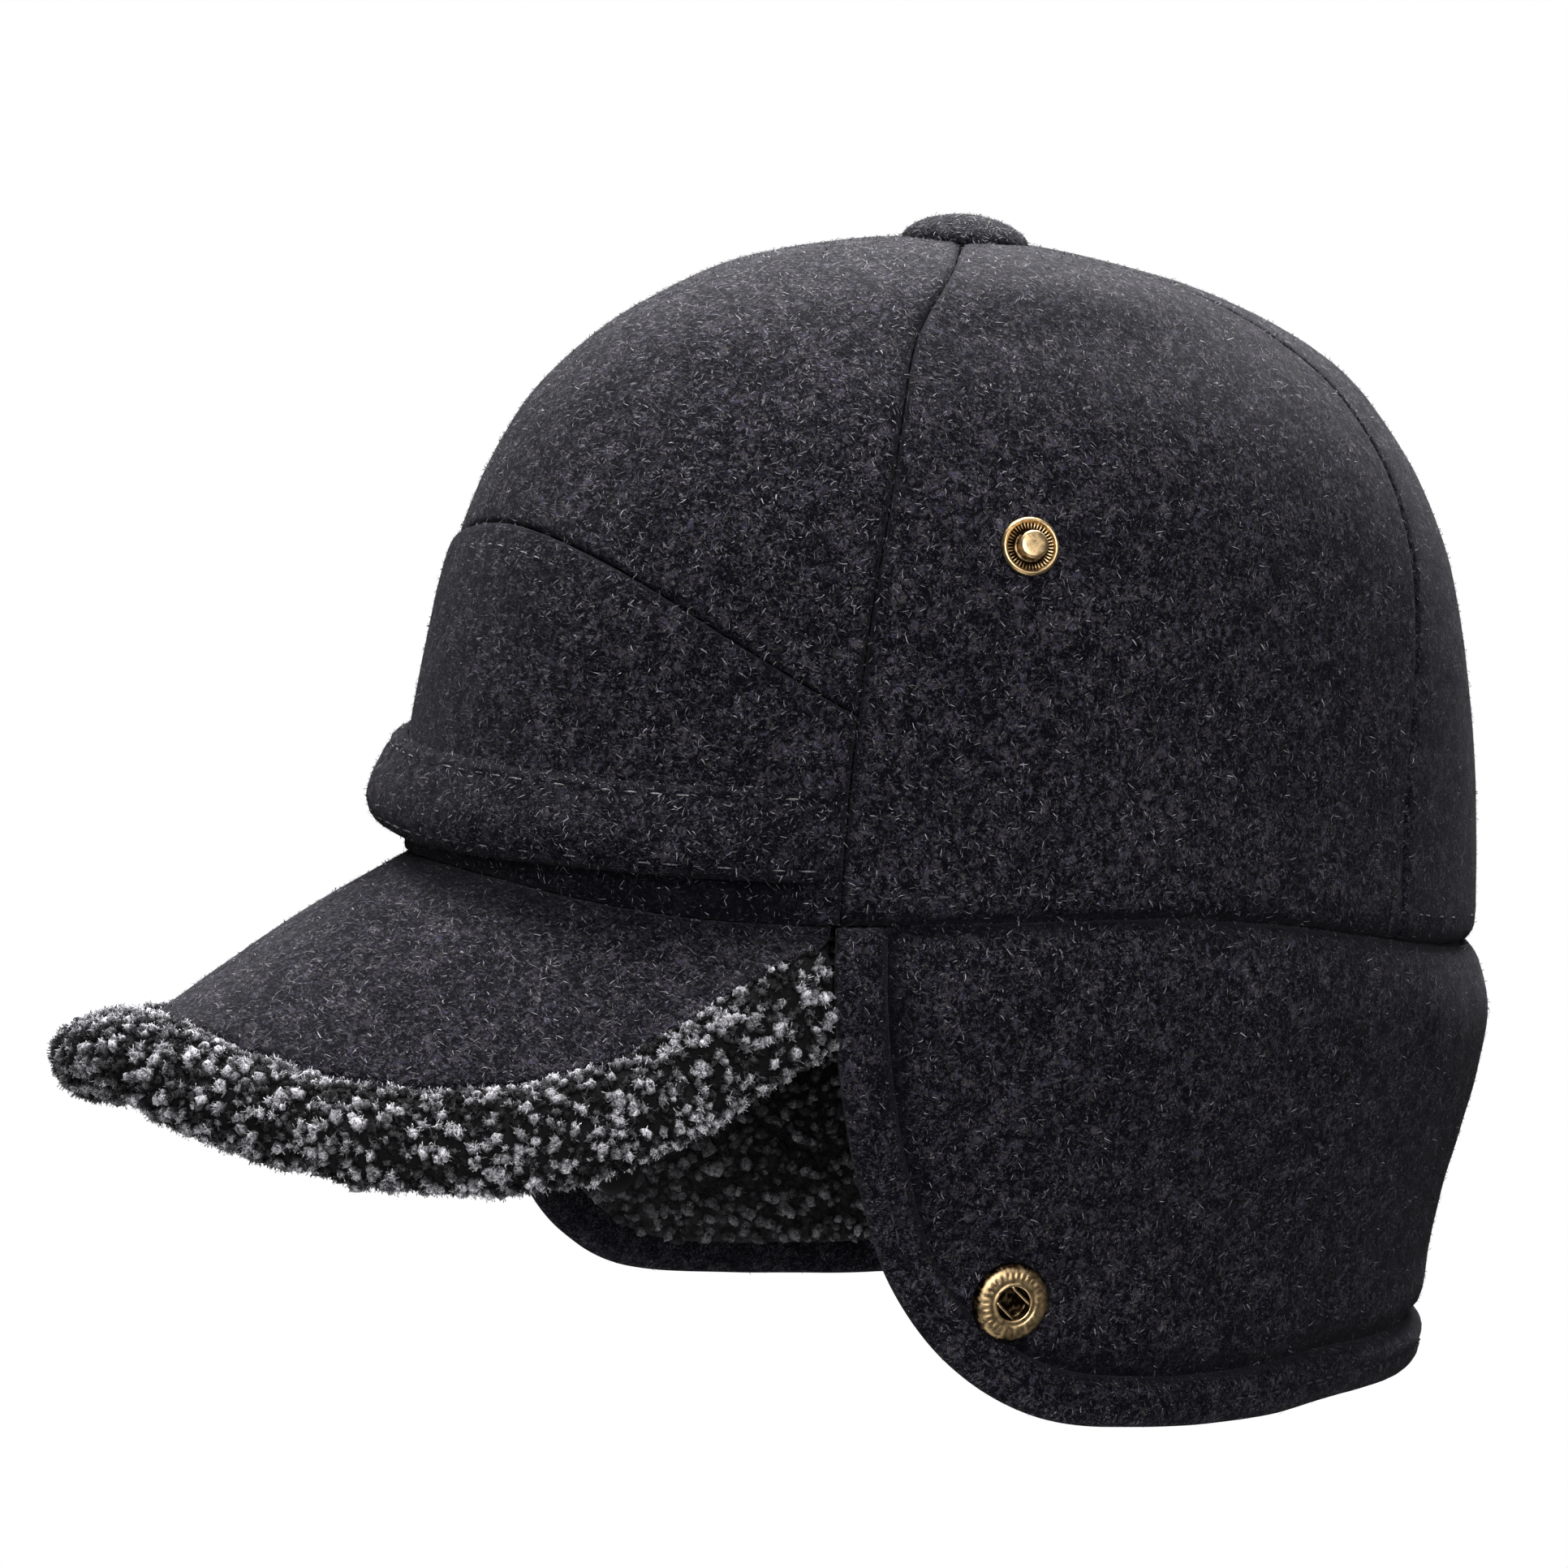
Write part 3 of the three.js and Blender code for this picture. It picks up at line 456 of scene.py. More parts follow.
def make_pile(name, surface, spacing, seed, pile, material):
    """Fleece on a surface: uneven woolly knobs with pale tops and fine locks curling round them, with painted
    shade where they lie low in the pile.
    """
    rng = np.random.default_rng(seed)
    a, b, c, d = surface[:-1, :-1], surface[1:, :-1], surface[1:, 1:], surface[:-1, 1:]
    area = np.linalg.norm(np.cross(c - a, d - b), axis=-1).sum() / 2
    tufts = int(area / spacing ** 2)
    centre, normal, heading = scatter(surface, tufts, rng)
    clump = smooth_step(0.4 * waves(centre, 10, seed) + waves(centre, 4.2, seed + 1), -0.35, 0.3)
    clump = mix(1, clump, pile["clump"])
    light = np.clip(1.2 * rng.beta(*pile["light"], tufts) * clump, 0, 1)
    size = pile["size"] * rng.uniform(0.7, 1.25, tufts) * (0.7 + 0.45 * clump)
    turn = rng.uniform(0, 2 * math.pi, (tufts, 1))
    first = heading * np.cos(turn) + np.cross(normal, heading) * np.sin(turn)
    lean = rng.normal(0, 0.35, (tufts, 2))
    axis = unit(normal + first * lean[:, :1] + np.cross(normal, first) * lean[:, 1:])
    second = unit(np.cross(axis, first))
    first = np.cross(second, axis)

    sides, rings = pile["sides"], pile["rings"]
    quarter = math.pi / 2
    rise = np.concatenate([np.repeat(np.linspace(-0.55, 0.6, rings) * quarter, sides), [-quarter, quarter]])
    spin = np.concatenate([np.tile(np.arange(sides) / sides * 2 * math.pi, rings), [0, 0]])
    ball = np.stack([np.cos(rise) * np.cos(spin), np.cos(rise) * np.sin(spin), np.sin(rise)], -1)
    waver = rng.normal(size=(tufts, 3, 3)) * 1.9
    bumps = np.sin(np.einsum("tkj,vj->tvk", waver, ball) + rng.uniform(0, 2 * math.pi, (tufts, 1, 3)))
    stretch = rng.uniform(0.85, 1.5, (tufts, 1, 1))
    local = ball[None] * (1 + 0.16 * bumps.sum(-1))[..., None] * size[:, None, None]
    middle = centre + axis * (size * pile["stand"])[:, None]
    turned = first[:, None] * local[..., :1] * stretch + second[:, None] * local[..., 1:2]
    knobs = middle[:, None] + turned + axis[:, None] * local[..., 2:] * 1.05
    quads, caps = swept_faces(rings, sides)
    offset = (np.arange(tufts) * len(ball))[:, None, None]
    quads, caps = (quads[None] + offset).reshape(-1, 4), (caps[None] + offset).reshape(-1, 3)
    # A knob's pale top is the fleece's pale tips; its dark foot is painted shade deep in the pile
    outness = smooth_step(ball[:, 2], *pile["pale"])[None]
    uneven = 0.8 + 0.3 * np.sin(bumps[..., 0] * 2 + bumps[..., 1])
    knob_pale_and_shade = outness * uneven * light[:, None] * pile["knob"]

    slivers = pile["slivers"]
    count = tufts * slivers
    toward = unit(rng.normal(size=(count, 3)) + np.repeat(axis, slivers, 0) * 1.3)
    root = np.repeat(middle, slivers, 0) + toward * (np.repeat(size, slivers) * 0.85)[:, None]
    way = unit(rng.normal(size=(count, 3)) + toward * 0.9)
    side = unit(np.cross(way, toward)) * rng.uniform(*pile["wide"], (count, 1)) / 2
    long = rng.uniform(*pile["long"], (count, 1))
    half = root + way * long * 0.5 + toward * long * 0.1
    tip = root + way * long * 0.6 - toward * long * 0.4
    strands = np.stack([root - side, root + side, half - side, half + side, tip], 1)
    blades, points = sliver_faces(count, tufts * len(ball))
    faces = [np.concatenate([quads, blades]), np.concatenate([caps, points])]
    height = (strands - np.repeat(centre, slivers, 0)[:, None]) * np.repeat(normal, slivers, 0)[:, None]
    shade = (0.04 + 0.96 * np.repeat(light, slivers)) * rng.uniform(0.4, 1.0, count)
    # Painted shade: each sliver darkens where it lies low, down between the knobs
    strand_pale_and_shade = shade[:, None] * mix(0.03, 1.0, smooth_step(height.sum(-1), *pile["deep"]))
    corners = np.concatenate([knobs.reshape(-1, 3), strands.reshape(-1, 3)])
    piece = make_piece(name, corners, faces, material)
    paint(piece, "tip", np.concatenate([knob_pale_and_shade.ravel(), strand_pale_and_shade.ravel()]))


# A pile's knobs and the slivers of wool over them: a knob's radius, its stand as a share of that, how far up
# it, from -1 to 1, its pale tip starts and is full, with painted shade below, the two powers of the beta
# spread of how bright tips are, how much clumps differ, how bright a knob is beside its slivers, how many
# slivers it has, their length and width, and the heights between which their painted shade turns pale
PILE = {
    "size": 0.90, "stand": 0.55, "sides": 5, "rings": 3, "pale": (-0.25, 0.95), "light": (1.7, 0.9),
    "clump": 0.9, "knob": 0.65, "slivers": 13, "long": (0.7, 2.0), "wide": (0.10, 0.22), "deep": (0.2, 1.5),
}
SHORT_PILE = {
    "size": 1.3, "stand": 0.20, "sides": 5, "rings": 2, "pale": (-0.9, 0.8), "light": (1.6, 2.2),
    "clump": 0.2, "knob": 0.7, "slivers": 3, "long": (0.6, 1.6), "wide": (0.10, 0.2), "deep": (-0.5, 1.0),
}


# Materials

class Paint:
    """A material's node tree, with a short call for each kind of node."""

    def __init__(self, name):
        self.material = bpy.data.materials.new(name)
        self.material.use_nodes = True
        self.tree = self.material.node_tree
        self.shader = self.tree.nodes["Principled BSDF"]
        self.place = self.tree.nodes.new("ShaderNodeTexCoord").outputs["Object"]

    def set(self, **values):
        for name, value in values.items():
            self.shader.inputs[name.replace("_", " ")].default_value = value

    def link(self, output, name):
        self.tree.links.new(output, self.shader.inputs[name])

    def put(self, socket, value):
        """Link a socket to another node's output, or set its number or colour."""
        if isinstance(value, bpy.types.NodeSocket):
            self.tree.links.new(value, socket)
        elif socket.type == "RGBA":
            socket.default_value = (*value, 1.0)
        else:
            socket.default_value = value

    def node(self, kind, inputs=(), **settings):
        made = self.tree.nodes.new(kind)
        for name, value in settings.items():
            setattr(made, name, value)
        for name, value in dict(inputs).items():
            self.put(made.inputs[name], value)
        return made

    def turned(self, stretch, turn=(0, 0, 0)):
        made = self.node("ShaderNodeMapping", {"Vector": self.place, "Rotation": turn, "Scale": stretch})
        return made.outputs["Vector"]

    def noise(self, scale, detail=2.0, rough=0.5, vector=None, distortion=0.0):
        made = self.node("ShaderNodeTexNoise", {
            "Vector": vector or self.place, "Scale": scale, "Detail": detail,
            "Roughness": rough, "Distortion": distortion,
        })
        return made.outputs["Fac"]

    def band(self, value, low, high, start=0.0, end=1.0):
        made = self.node("ShaderNodeMapRange", {
            "Value": value, "From Min": low, "From Max": high, "To Min": start, "To Max": end,
        })
        return made.outputs["Result"]

    def maths(self, operation, first, second):
        made = self.node("ShaderNodeMath", operation=operation)
        for socket, value in zip(made.inputs, (first, second)):
            self.put(socket, value)
        return made.outputs["Value"]

    def blend(self, share, first, second):
        made = self.node("ShaderNodeMix", data_type="RGBA")
        sockets = [socket for socket in made.inputs if socket.enabled]
        for socket, value in zip(sockets, (share, first, second)):
            self.put(socket, value)
        return [socket for socket in made.outputs if socket.enabled][0]

    def painted(self, name):
        return self.node("ShaderNodeAttribute", attribute_name=name).outputs["Fac"]

    def bump(self, height, distance, strength=1.0):
        made = self.node("ShaderNodeBump", {"Height": height, "Distance": distance, "Strength": strength})
        self.link(made.outputs["Normal"], "Normal")


# Colours, as shares of red, green and blue light
WOOL_DARK, WOOL_FLECK = (0.0019, 0.0017, 0.0034), (0.165, 0.157, 0.178)
WOOL_VIOLET, WOOL_TAN = (0.044, 0.039, 0.063), (0.049, 0.046, 0.046)
FIBRE_DARK, FIBRE_PALE = (0.003, 0.003, 0.005), (0.36, 0.345, 0.385)
# The grey fleece's near black roots and knitted ground are painted shade deep in the pile
FLEECE_ROOT_SHADE, FLEECE_TIP = (0.0015, 0.0015, 0.0017), (0.72, 0.705, 0.755)
LINING_ROOT, LINING_TIP = (0.011, 0.011, 0.012), (0.27, 0.265, 0.285)
FLEECE_GROUND_SHADE = (0.006, 0.006, 0.0065)
LINING_KNIT_DARK, LINING_KNIT = (0.008, 0.008, 0.009), (0.04, 0.04, 0.043)
PATINA, GOLD = (0.012, 0.006, 0.003), (0.66, 0.47, 0.25)
PLASTIC_DARK, PLASTIC_HAZE = (0.004, 0.004, 0.005), (0.010, 0.010, 0.011)
PALE_THREAD_DARK, PALE_THREAD_LIGHT = (0.03, 0.029, 0.034), (0.22, 0.21, 0.215)
DARK_THREAD_DARK, DARK_THREAD_LIGHT = (0.008, 0.008, 0.012), (0.03, 0.03, 0.038)
WOOL_SHEEN = (0.55, 0.54, 0.61, 1)

# Turns of the wool's pale hairs, so that they lie every way
HAIR_TURNS = ((0.3, 0.2, 0.1), (1.1, 0.4, 0.9), (0.2, 1.2, 1.7), (1.6, 0.8, 2.4), (2.3, 1.9, 0.6))


def wool_material():
    """Brushed melton: a dark ground with pale grain and hairs lying every way, darkened by painted shade in
    its creases.
    """
    made = Paint("wool_melton")
    grain = made.noise(720, 5, 0.78, distortion=0.8)
    blotch = made.noise(200, 4, 0.65)
    both = made.maths("ADD", made.maths("MULTIPLY", grain, 0.8), made.maths("MULTIPLY", blotch, 0.2))
    pale = made.blend(made.band(made.noise(950, 2, 0.5), 0.42, 0.58), WOOL_VIOLET, WOOL_TAN)
    ground = made.blend(made.maths("POWER", made.band(both, 0.47, 0.61), 1.7), WOOL_DARK, pale)
    flecks = None
    for number, turn in enumerate(HAIR_TURNS):
        stretched = made.turned((460, 1700, 1700), turn)
        hair = made.noise(1.0, 3, 0.6, stretched, 0.6)
        mask = made.band(hair, 0.61 + 0.01 * number, 0.71)
        flecks = mask if flecks is None else made.maths("MAXIMUM", flecks, mask)
    amount = made.maths("MULTIPLY", flecks, made.band(blotch, 0.38, 0.62, 0.25, 1.0))
    colour = made.blend(amount, ground, WOOL_FLECK)
    # Painted shade: each point's painted crease darkness blends the cloth towards its dark ground
    made.link(made.blend(made.painted("crease_shade"), colour, WOOL_DARK), "Base Color")
    made.bump(made.maths("ADD", both, made.maths("MULTIPLY", flecks, 0.5)), 0.0005, 0.9)
    made.link(made.band(grain, 0.3, 0.7, 0.85, 1.0), "Roughness")
    made.set(Sheen_Weight=0.06, Sheen_Roughness=0.35, Sheen_Tint=WOOL_SHEEN, Specular_IOR_Level=0.04)
    return made.material


def fibre_material():
    made = Paint("wool_fibre")
    made.link(made.blend(made.painted("shade"), FIBRE_DARK, FIBRE_PALE), "Base Color")
    made.set(Roughness=0.8, Specular_IOR_Level=0.2)
    return made.material


def fleece_material(name, root, tip, power=1.0):
    """Curly pile: pale at the tips, and dark at the roots, partly painted shade deep in the pile."""
    made = Paint(name)
    fine = made.noise(1700, 4, 0.7, distortion=1.0)
    share = made.maths("POWER", made.painted("tip"), power)
    share = made.maths("MULTIPLY", share, made.band(fine, 0.40, 0.58, 0.10, 1.8))
    made.link(made.blend(share, root, tip), "Base Color")
    made.bump(fine, 0.0004, 0.8)
    made.set(Roughness=0.9, Specular_IOR_Level=0.1)
    return made.material


def backing_material(name, dark, mid):
    """The knitted ground under the pile."""
    made = Paint(name)
    lumps = made.noise(700, 4, 0.6)
    made.link(made.blend(made.band(lumps, 0.4, 0.75), dark, mid), "Base Color")
    made.bump(lumps, 0.0008)
    made.link(made.band(lumps, 0.3, 0.7, 0.85, 1.0), "Roughness")
    made.set(Specular_IOR_Level=0.15)
    return made.material


def brass_material():
    """Antique brass: gold on raised edges and brown patina in the recesses, with painted shade down a socket's
    bore.
    """
    made = Paint("antique_brass")
    blotch = made.noise(900, 4, 0.6)
    scratch = made.noise(1.0, 2, 0.5, made.turned((700, 6000, 6000), (0.4, 0.9, 0.3)))
    wear_and_shade = made.maths("ADD", made.painted("wear_and_shade"), made.band(blotch, 0.35, 0.65, -0.3, 0.3))
    made.link(made.blend(wear_and_shade, PATINA, GOLD), "Base Color")
    made.link(made.band(blotch, 0.3, 0.7, 0.24, 0.5), "Roughness")
    made.bump(made.maths("ADD", blotch, made.maths("MULTIPLY", scratch, 0.5)), 0.00006, 0.6)
    made.set(Metallic=1.0)
    return made.material


def plastic_material():
    made = Paint("black_plastic")
    haze = made.noise(300, 3, 0.5)
    made.link(made.blend(haze, PLASTIC_DARK, PLASTIC_HAZE), "Base Color")
    made.link(made.band(haze, 0.3, 0.7, 0.28, 0.4), "Roughness")
    made.bump(haze, 0.00004, 0.3)
    return made.material


def thread_material(name, dark, light):
    made = Paint(name)
    twist = made.noise(1.0, 2, 0.5, made.turned((1500, 5000, 1500), (0.5, 0.5, 0.5)))
    made.link(made.blend(made.band(twist, 0.35, 0.65), dark, light), "Base Color")
    made.bump(twist, 0.0001, 0.7)
    made.link(made.band(twist, 0.3, 0.7, 0.6, 0.85), "Roughness")
    return made.material


WOOL = wool_material()
FIBRE = fibre_material()
FLEECE = fleece_material("grey_fleece", FLEECE_ROOT_SHADE, FLEECE_TIP, 1.2)
# The fleece's ground is coloured near black, painted shade between the tufts
FLEECE_BACK = backing_material("fleece_ground", FLEECE_ROOT_SHADE, FLEECE_GROUND_SHADE)
LINING = fleece_material("dark_fleece", LINING_ROOT, LINING_TIP)
LINING_BACK = backing_material("lining_ground", LINING_KNIT_DARK, LINING_KNIT)
BRASS = brass_material()
PLASTIC = plastic_material()
PALE_THREAD = thread_material("pale_thread", PALE_THREAD_DARK, PALE_THREAD_LIGHT)
DARK_THREAD = thread_material("dark_thread", DARK_THREAD_DARK, DARK_THREAD_LIGHT)


# Crown pieces

def crown_panel(name, from_angle, to_angle, from_share, to_share, columns, rows, proud=0.0,
                depths=(1, 1), stitch=None, replaces=(), seed=0):
    """A panel between two angles and two shares of the way up, with its edges turned in and creased, and
    painted shade in its creases.
    """
    u = dense_shares(columns)[:, None]
    w = dense_shares(rows, edge_share=0.02)[None, :]
    middle = mix(from_angle(0.5), to_angle(0.5), u)
    share = mix(from_share(middle), to_share(middle), w)
    start, end = from_angle(share), to_angle(share)
    radius = np.linalg.norm(crown_point(start, share)[..., :2], axis=-1)
    gap = SEAM_GAP / 2 / radius / DEGREE
    angle = mix(start + gap * depths[0], end - gap * depths[1], u)
    flat = crown_point(angle, share)
    left, right, low, high = edge_distances(flat)

    bend = np.minimum(SIDE_ROLL[0], (left + right) * NARROW_SHARE)
    lift = proud + rolled(left, bend, SIDE_ROLL[1] * depths[0])
    lift = lift + rolled(right, bend, SIDE_ROLL[1] * depths[1])
    lift = lift + rolled(low, *(RIM_ROLL if stitch else CHEVRON_ROLL))
    if proud:
        lift = lift + rolled(high, *CHEVRON_ROLL)
    broad = PANEL_SWELL[0] * waves(flat, PANEL_SWELL[1], seed)
    lift = lift + broad + PANEL_RIPPLE[0] * waves(flat, PANEL_RIPPLE[1], seed + 1)

    # Painted shade: darker along the seams, by the rim's stitches and round the button's foot
    crease_shade = np.maximum(depths[0] * bell(left, *SIDE_SEAM_SHADE), depths[1] * bell(right, *SIDE_SEAM_SHADE))
    chevron_shade = mix(*CHEVRON_SHADE, smooth_step(np.abs(angle), 0, CHEVRON_FULL_ANGLE))
    crease_shade = np.maximum(crease_shade, bell(low, *RIM_SEAM_SHADE) if stitch else bell(low, chevron_shade, CHEVRON_REACH))
    if proud:
        foot = front_column("band_low", angle)
        hidden = 1 - smooth_step(share, foot * BED_SHARES[0], foot * BED_SHARES[1])
        hidden = hidden * (1 - smooth_step(np.abs(angle), *BED_ANGLES))
        lift = lift - BAND_BED * hidden
        # Painted shadow over the bed under the band, and painted shade along the chevron seam above it
        crease_shade = np.maximum(np.maximum(crease_shade, bell(high, chevron_shade, CHEVRON_REACH)), BED_SHADE * hidden)
    lift = lift - broad * np.exp(-np.minimum(left, right) / SEAM_HOLD)
    from_button = np.linalg.norm(flat[..., :2], axis=-1) - BUTTON_RADIUS
    crease_shade = np.maximum(crease_shade, bell(from_button, *BUTTON_SHADOW))
    if stitch:
        pucker = np.sin(left * 2 * math.pi / PUCKER_LENGTH) * bell(low - stitch, *RIM_PUCKER)
        lift = lift + bell(low - stitch, *RIM_GROOVE) + pucker
        crease_shade = np.maximum(crease_shade, bell(low - stitch, *STITCH_SHADE))

    outer = crown_at(angle, share, lift)
    inner = crown_at(angle, share, -CROWN_WALL)
    # Painted shade inside the cap: the panel's inner face is a little darker
    make_cloth(name, outer, inner, crease_shade, 0.2, replaces)
    return outer


# Seam allowances turned in along the crown's seams: half their width, their wall, and the gap between layers
ALLOWANCE_HALF_WIDTH, ALLOWANCE_WALL, ALLOWANCE_GAP = 6.0, 0.5, 0.1
# The one between crown and flap: its first angle, its wall, and its section up the flap and on up the crown
FLAP_SEAM_ANGLE, FLAP_SEAM_WALL = 62.5, 0.15
FLAP_SEAM_SECTION = {"drop": (3.0, 0.05, -0.2), "lift": (-2.72, -2.72, -3.05)}
CROWN_SEAM_SHARES, CROWN_SEAM_LIFT = (0.001, 0.05), -3.3


def make_allowance(name, outer, inner):
    """The cloth turned in along a seam, one strip inside the cap."""
    strip = make_wall(name, outer, inner, WOOL)
    # Painted shade: the strip lies inside the cap and is darkened all over
    paint(strip, "crease_shade", np.full(len(strip.data.vertices), 0.3))


def crown_allowance(name, angle, share, layer):
    depth = CROWN_WALL + ALLOWANCE_GAP + layer * (ALLOWANCE_WALL + ALLOWANCE_GAP)
    make_allowance(name, crown_at(angle, share, -depth), crown_at(angle, share, -depth - ALLOWANCE_WALL))


def make_allowances():
    across = np.linspace(-1, 1, 5)[:, None]
    share = np.linspace(0, share_at_radius(BUTTON_RADIUS), 50)[None, :]
    seams = {
        "front_left": SIDE_SEAM + 0 * share,
        "front_right": -SIDE_SEAM + 0 * share,
        "rear_left": rear_seam(share),
        "rear_right": -rear_seam(share),
    }
    for name, seam in seams.items():
        radius = np.linalg.norm(crown_point(seam, share)[..., :2], axis=-1)
        reach = np.minimum(ALLOWANCE_HALF_WIDTH / radius, 0.4) / DEGREE
        crown_allowance(f"seam_allowance_{name}", seam + across * reach, share, 1)
    angle = np.linspace(-SIDE_SEAM, SIDE_SEAM, 80)[:, None]
    half = ALLOWANCE_HALF_WIDTH / CROWN_HEIGHT
    share = front_column("chevron", angle) + half * np.linspace(-1, 1, 5)[None, :]
    crown_allowance("seam_allowance_front", angle, share, 2)
    angle = np.linspace(-FLAP_SEAM_ANGLE, FLAP_SEAM_ANGLE, 90)[:, None]
    crown_allowance("seam_allowance_peak", angle, half * np.linspace(0, 1, 5)[None, :], 2)


def make_flap_allowance():
    """The sewn edge between crown and flap: between the flap's cloth and lining, then inside the crown."""
    angle = np.linspace(FLAP_SEAM_ANGLE, 360 - FLAP_SEAM_ANGLE, 200)[:, None]
    drop, lift = (np.array(FLAP_SEAM_SECTION[name])[None, :] for name in ("drop", "lift"))
    share = np.array(CROWN_SEAM_SHARES)[None, :]
    layers = []
    for depth in (0, FLAP_SEAM_WALL):
        low = flap_at(angle, drop, lift - depth)
        high = crown_at(angle, share, CROWN_SEAM_LIFT - depth)
        layers.append(np.concatenate([low, high], 1))
    make_allowance("seam_allowance_flap", *layers)


def level(value):
    """A seam that keeps one angle or one share all along."""
    return lambda _: value


def make_crown():
    """The crown's five panels, kept by name."""
    front = level(-SIDE_SEAM), level(SIDE_SEAM)

    def chevron(angle):
        return front_column("chevron", angle)

    def above_chevron(angle):
        return chevron(angle) + SEAM_GAP / CROWN_HEIGHT

    surfaces = {}
    surfaces["front_upper"] = crown_panel(
        "front_upper_cloth", *front, above_chevron, level(TOP_SHARE), 64, 44,
        replaces=["crown_front_upper"], seed=PANEL_SEED,
    )
    surfaces["front_lower"] = crown_panel(
        "front_lower_cloth", *front, level(0.0), chevron, 64, 22,
        proud=LOWER_PANEL_PROUD, replaces=["crown_front_lower"], seed=PANEL_SEED + 1,
    )
    flat = REAR_SEAM_DEPTH
    rows = (
        ("side_left", level(SIDE_SEAM), rear_seam, 46, (1, flat), "side_panel_left"),
        ("side_right", lambda share: -rear_seam(share), level(-SIDE_SEAM), 46, (flat, 1), "side_panel_right"),
        ("back", rear_seam, lambda share: 360 - rear_seam(share), 56, (flat, flat), "back_panel"),
    )
    for seed, (name, start, end, columns, depths, node) in enumerate(rows, PANEL_SEED + 2):
        surfaces[name] = crown_panel(
            f"{name}_cloth", start, end, level(0.0), level(TOP_SHARE), columns, 60,
            depths=depths, stitch=RIM_STITCH, replaces=[node], seed=seed,
        )
    return surfaces


def make_band():
    """Padded band with a stitched channel along each edge, and the paths of its stitches."""
    limit = SIDE_SEAM - BAND_SIDE_GAP
    u = dense_shares(120, 4, 0.02)[:, None]
    w = dense_shares(22, 4, 0.08)[None, :]
    angle = mix(-limit, limit, u) + 0 * w
    share = mix(front_column("band_low", angle), front_column("band_high", angle), w)
    flat = crown_point(angle, share)
    left, right, low, high = edge_distances(flat)
    from_high, from_low = high - BAND_STITCH_HIGH, low - BAND_STITCH_LOW
    sewn = bell(from_high, 1, BAND_GROOVE) + bell(from_low, 1, BAND_GROOVE)
    puff = mix(BAND_PUFF, BAND_END_PUFF, np.abs(2 * u - 1) ** 4) * along(BAND_OUT, w)
    puff = puff - 0.38 * sewn * (0.8 + 0.5 * waves(flat, 11, BAND_SEED + 2))
    puff = puff + 0.24 * waves(flat, 24, BAND_SEED) + 0.12 * waves(flat, 7, BAND_SEED + 1)
    near_seam = bell(high - 2.6, 1, 3.2) + bell(low - 2.2, 1, 3.2)
    puff = puff + 0.16 * np.sin(left * 2 * math.pi / 5 + 1.2 * waves(flat, 20, BAND_SEED + 3)) * near_seam
    edge = np.minimum(np.minimum(low, high), np.minimum(left, right))
    puff = puff * (1 - 0.55 * np.clip(1 - edge / BAND_EDGE_BEND, 0, 1) ** 2)
    base = LOWER_PANEL_PROUD + BAND_GAP
    outer = crown_at(angle, share, base + puff)
    inner = crown_at(angle, share, base)
    # Painted shade: a little over the whole band, more in its stitch grooves and at its edges, and dark on its
    # inner face
    crease_shade = np.clip(0.32 + 0.25 * sewn + bell(edge, *BAND_EDGE_SHADE), 0, 1)
    band = make_cloth("front_band_cloth", outer, inner, crease_shade, 0.8, ["front_band"])
    rows = (np.argmin(np.abs(distance.mean(0))) for distance in (from_high, from_low))
    return outer, [outer[4:-4, row] for row in rows]


def make_button():
    """Cloth drawn over a dome whose foot follows the crown, with faint gathers round its edge."""
    rise = np.linspace(-0.5, 1, 24)[4:-1] * math.pi / 2
    under = [STEM_RADIUS, STEM_RADIUS, 5.0, 8.0, BUTTON_RADIUS - 1.0]
    radius = np.concatenate([under, BUTTON_RADIUS * np.cos(rise)])
    dome = 1.0 + np.where(rise > 0, 3.9, 1.0) * np.sin(rise)
    height = np.concatenate([[-CROWN_WALL, 0.2, 0.15, 0.1, 0.05], dome])
    drape = np.concatenate([[0, 0], (radius[2:] / BUTTON_RADIUS) ** 2]) * BUTTON_DRAPE
    around = 90
    turn = (np.arange(around) / around * 2 * math.pi)[None, :]
    radius, height, drape = radius[:, None], height[:, None], drape[:, None]
    pleat = np.cos(turn * 20 + 0.6 * np.sin(turn * 3)) * bell(height - 1.2, 0.13, 1.2)
    across = radius + pleat
    level_height = CROWN_HEIGHT - 0.5 + height - drape + 0 * turn
    rings = np.stack([across * np.cos(turn), across * np.sin(turn), level_height], -1)
    rings[..., 2] += 0.14 * waves(rings, 9, BUTTON_SEED) * (radius > 5.5)
    button = make_sweep("top_button_cloth", rings, WOOL, ["top_button"])
    # Painted shade: a little over the whole button, most round the foot of its dome
    crease_shade = 0.4 + bell(height, *DOME_FOOT_SHADE) + 0 * turn
    paint(button, "crease_shade", np.concatenate([crease_shade.ravel(), [0.9, 0.4]]))
    return np.concatenate([rings[5:], rings[5:, :1]], 1).transpose(1, 0, 2)


# Peak

def brim_edge(side):
    turn = np.clip(side, -0.9999, 0.9999) * math.pi / 2
    reach = FRONT_REACH + BRIM_LENGTH - BRIM_END_FORWARD
    x = BRIM_HALF_WIDTH * np.sin(turn)
    y = -BRIM_END_FORWARD - reach * np.cos(turn) ** BRIM_ROUNDNESS
    return np.stack([x, y, -BRIM_DROP * both_ways(BRIM_TABLE["drop"], side)], -1)


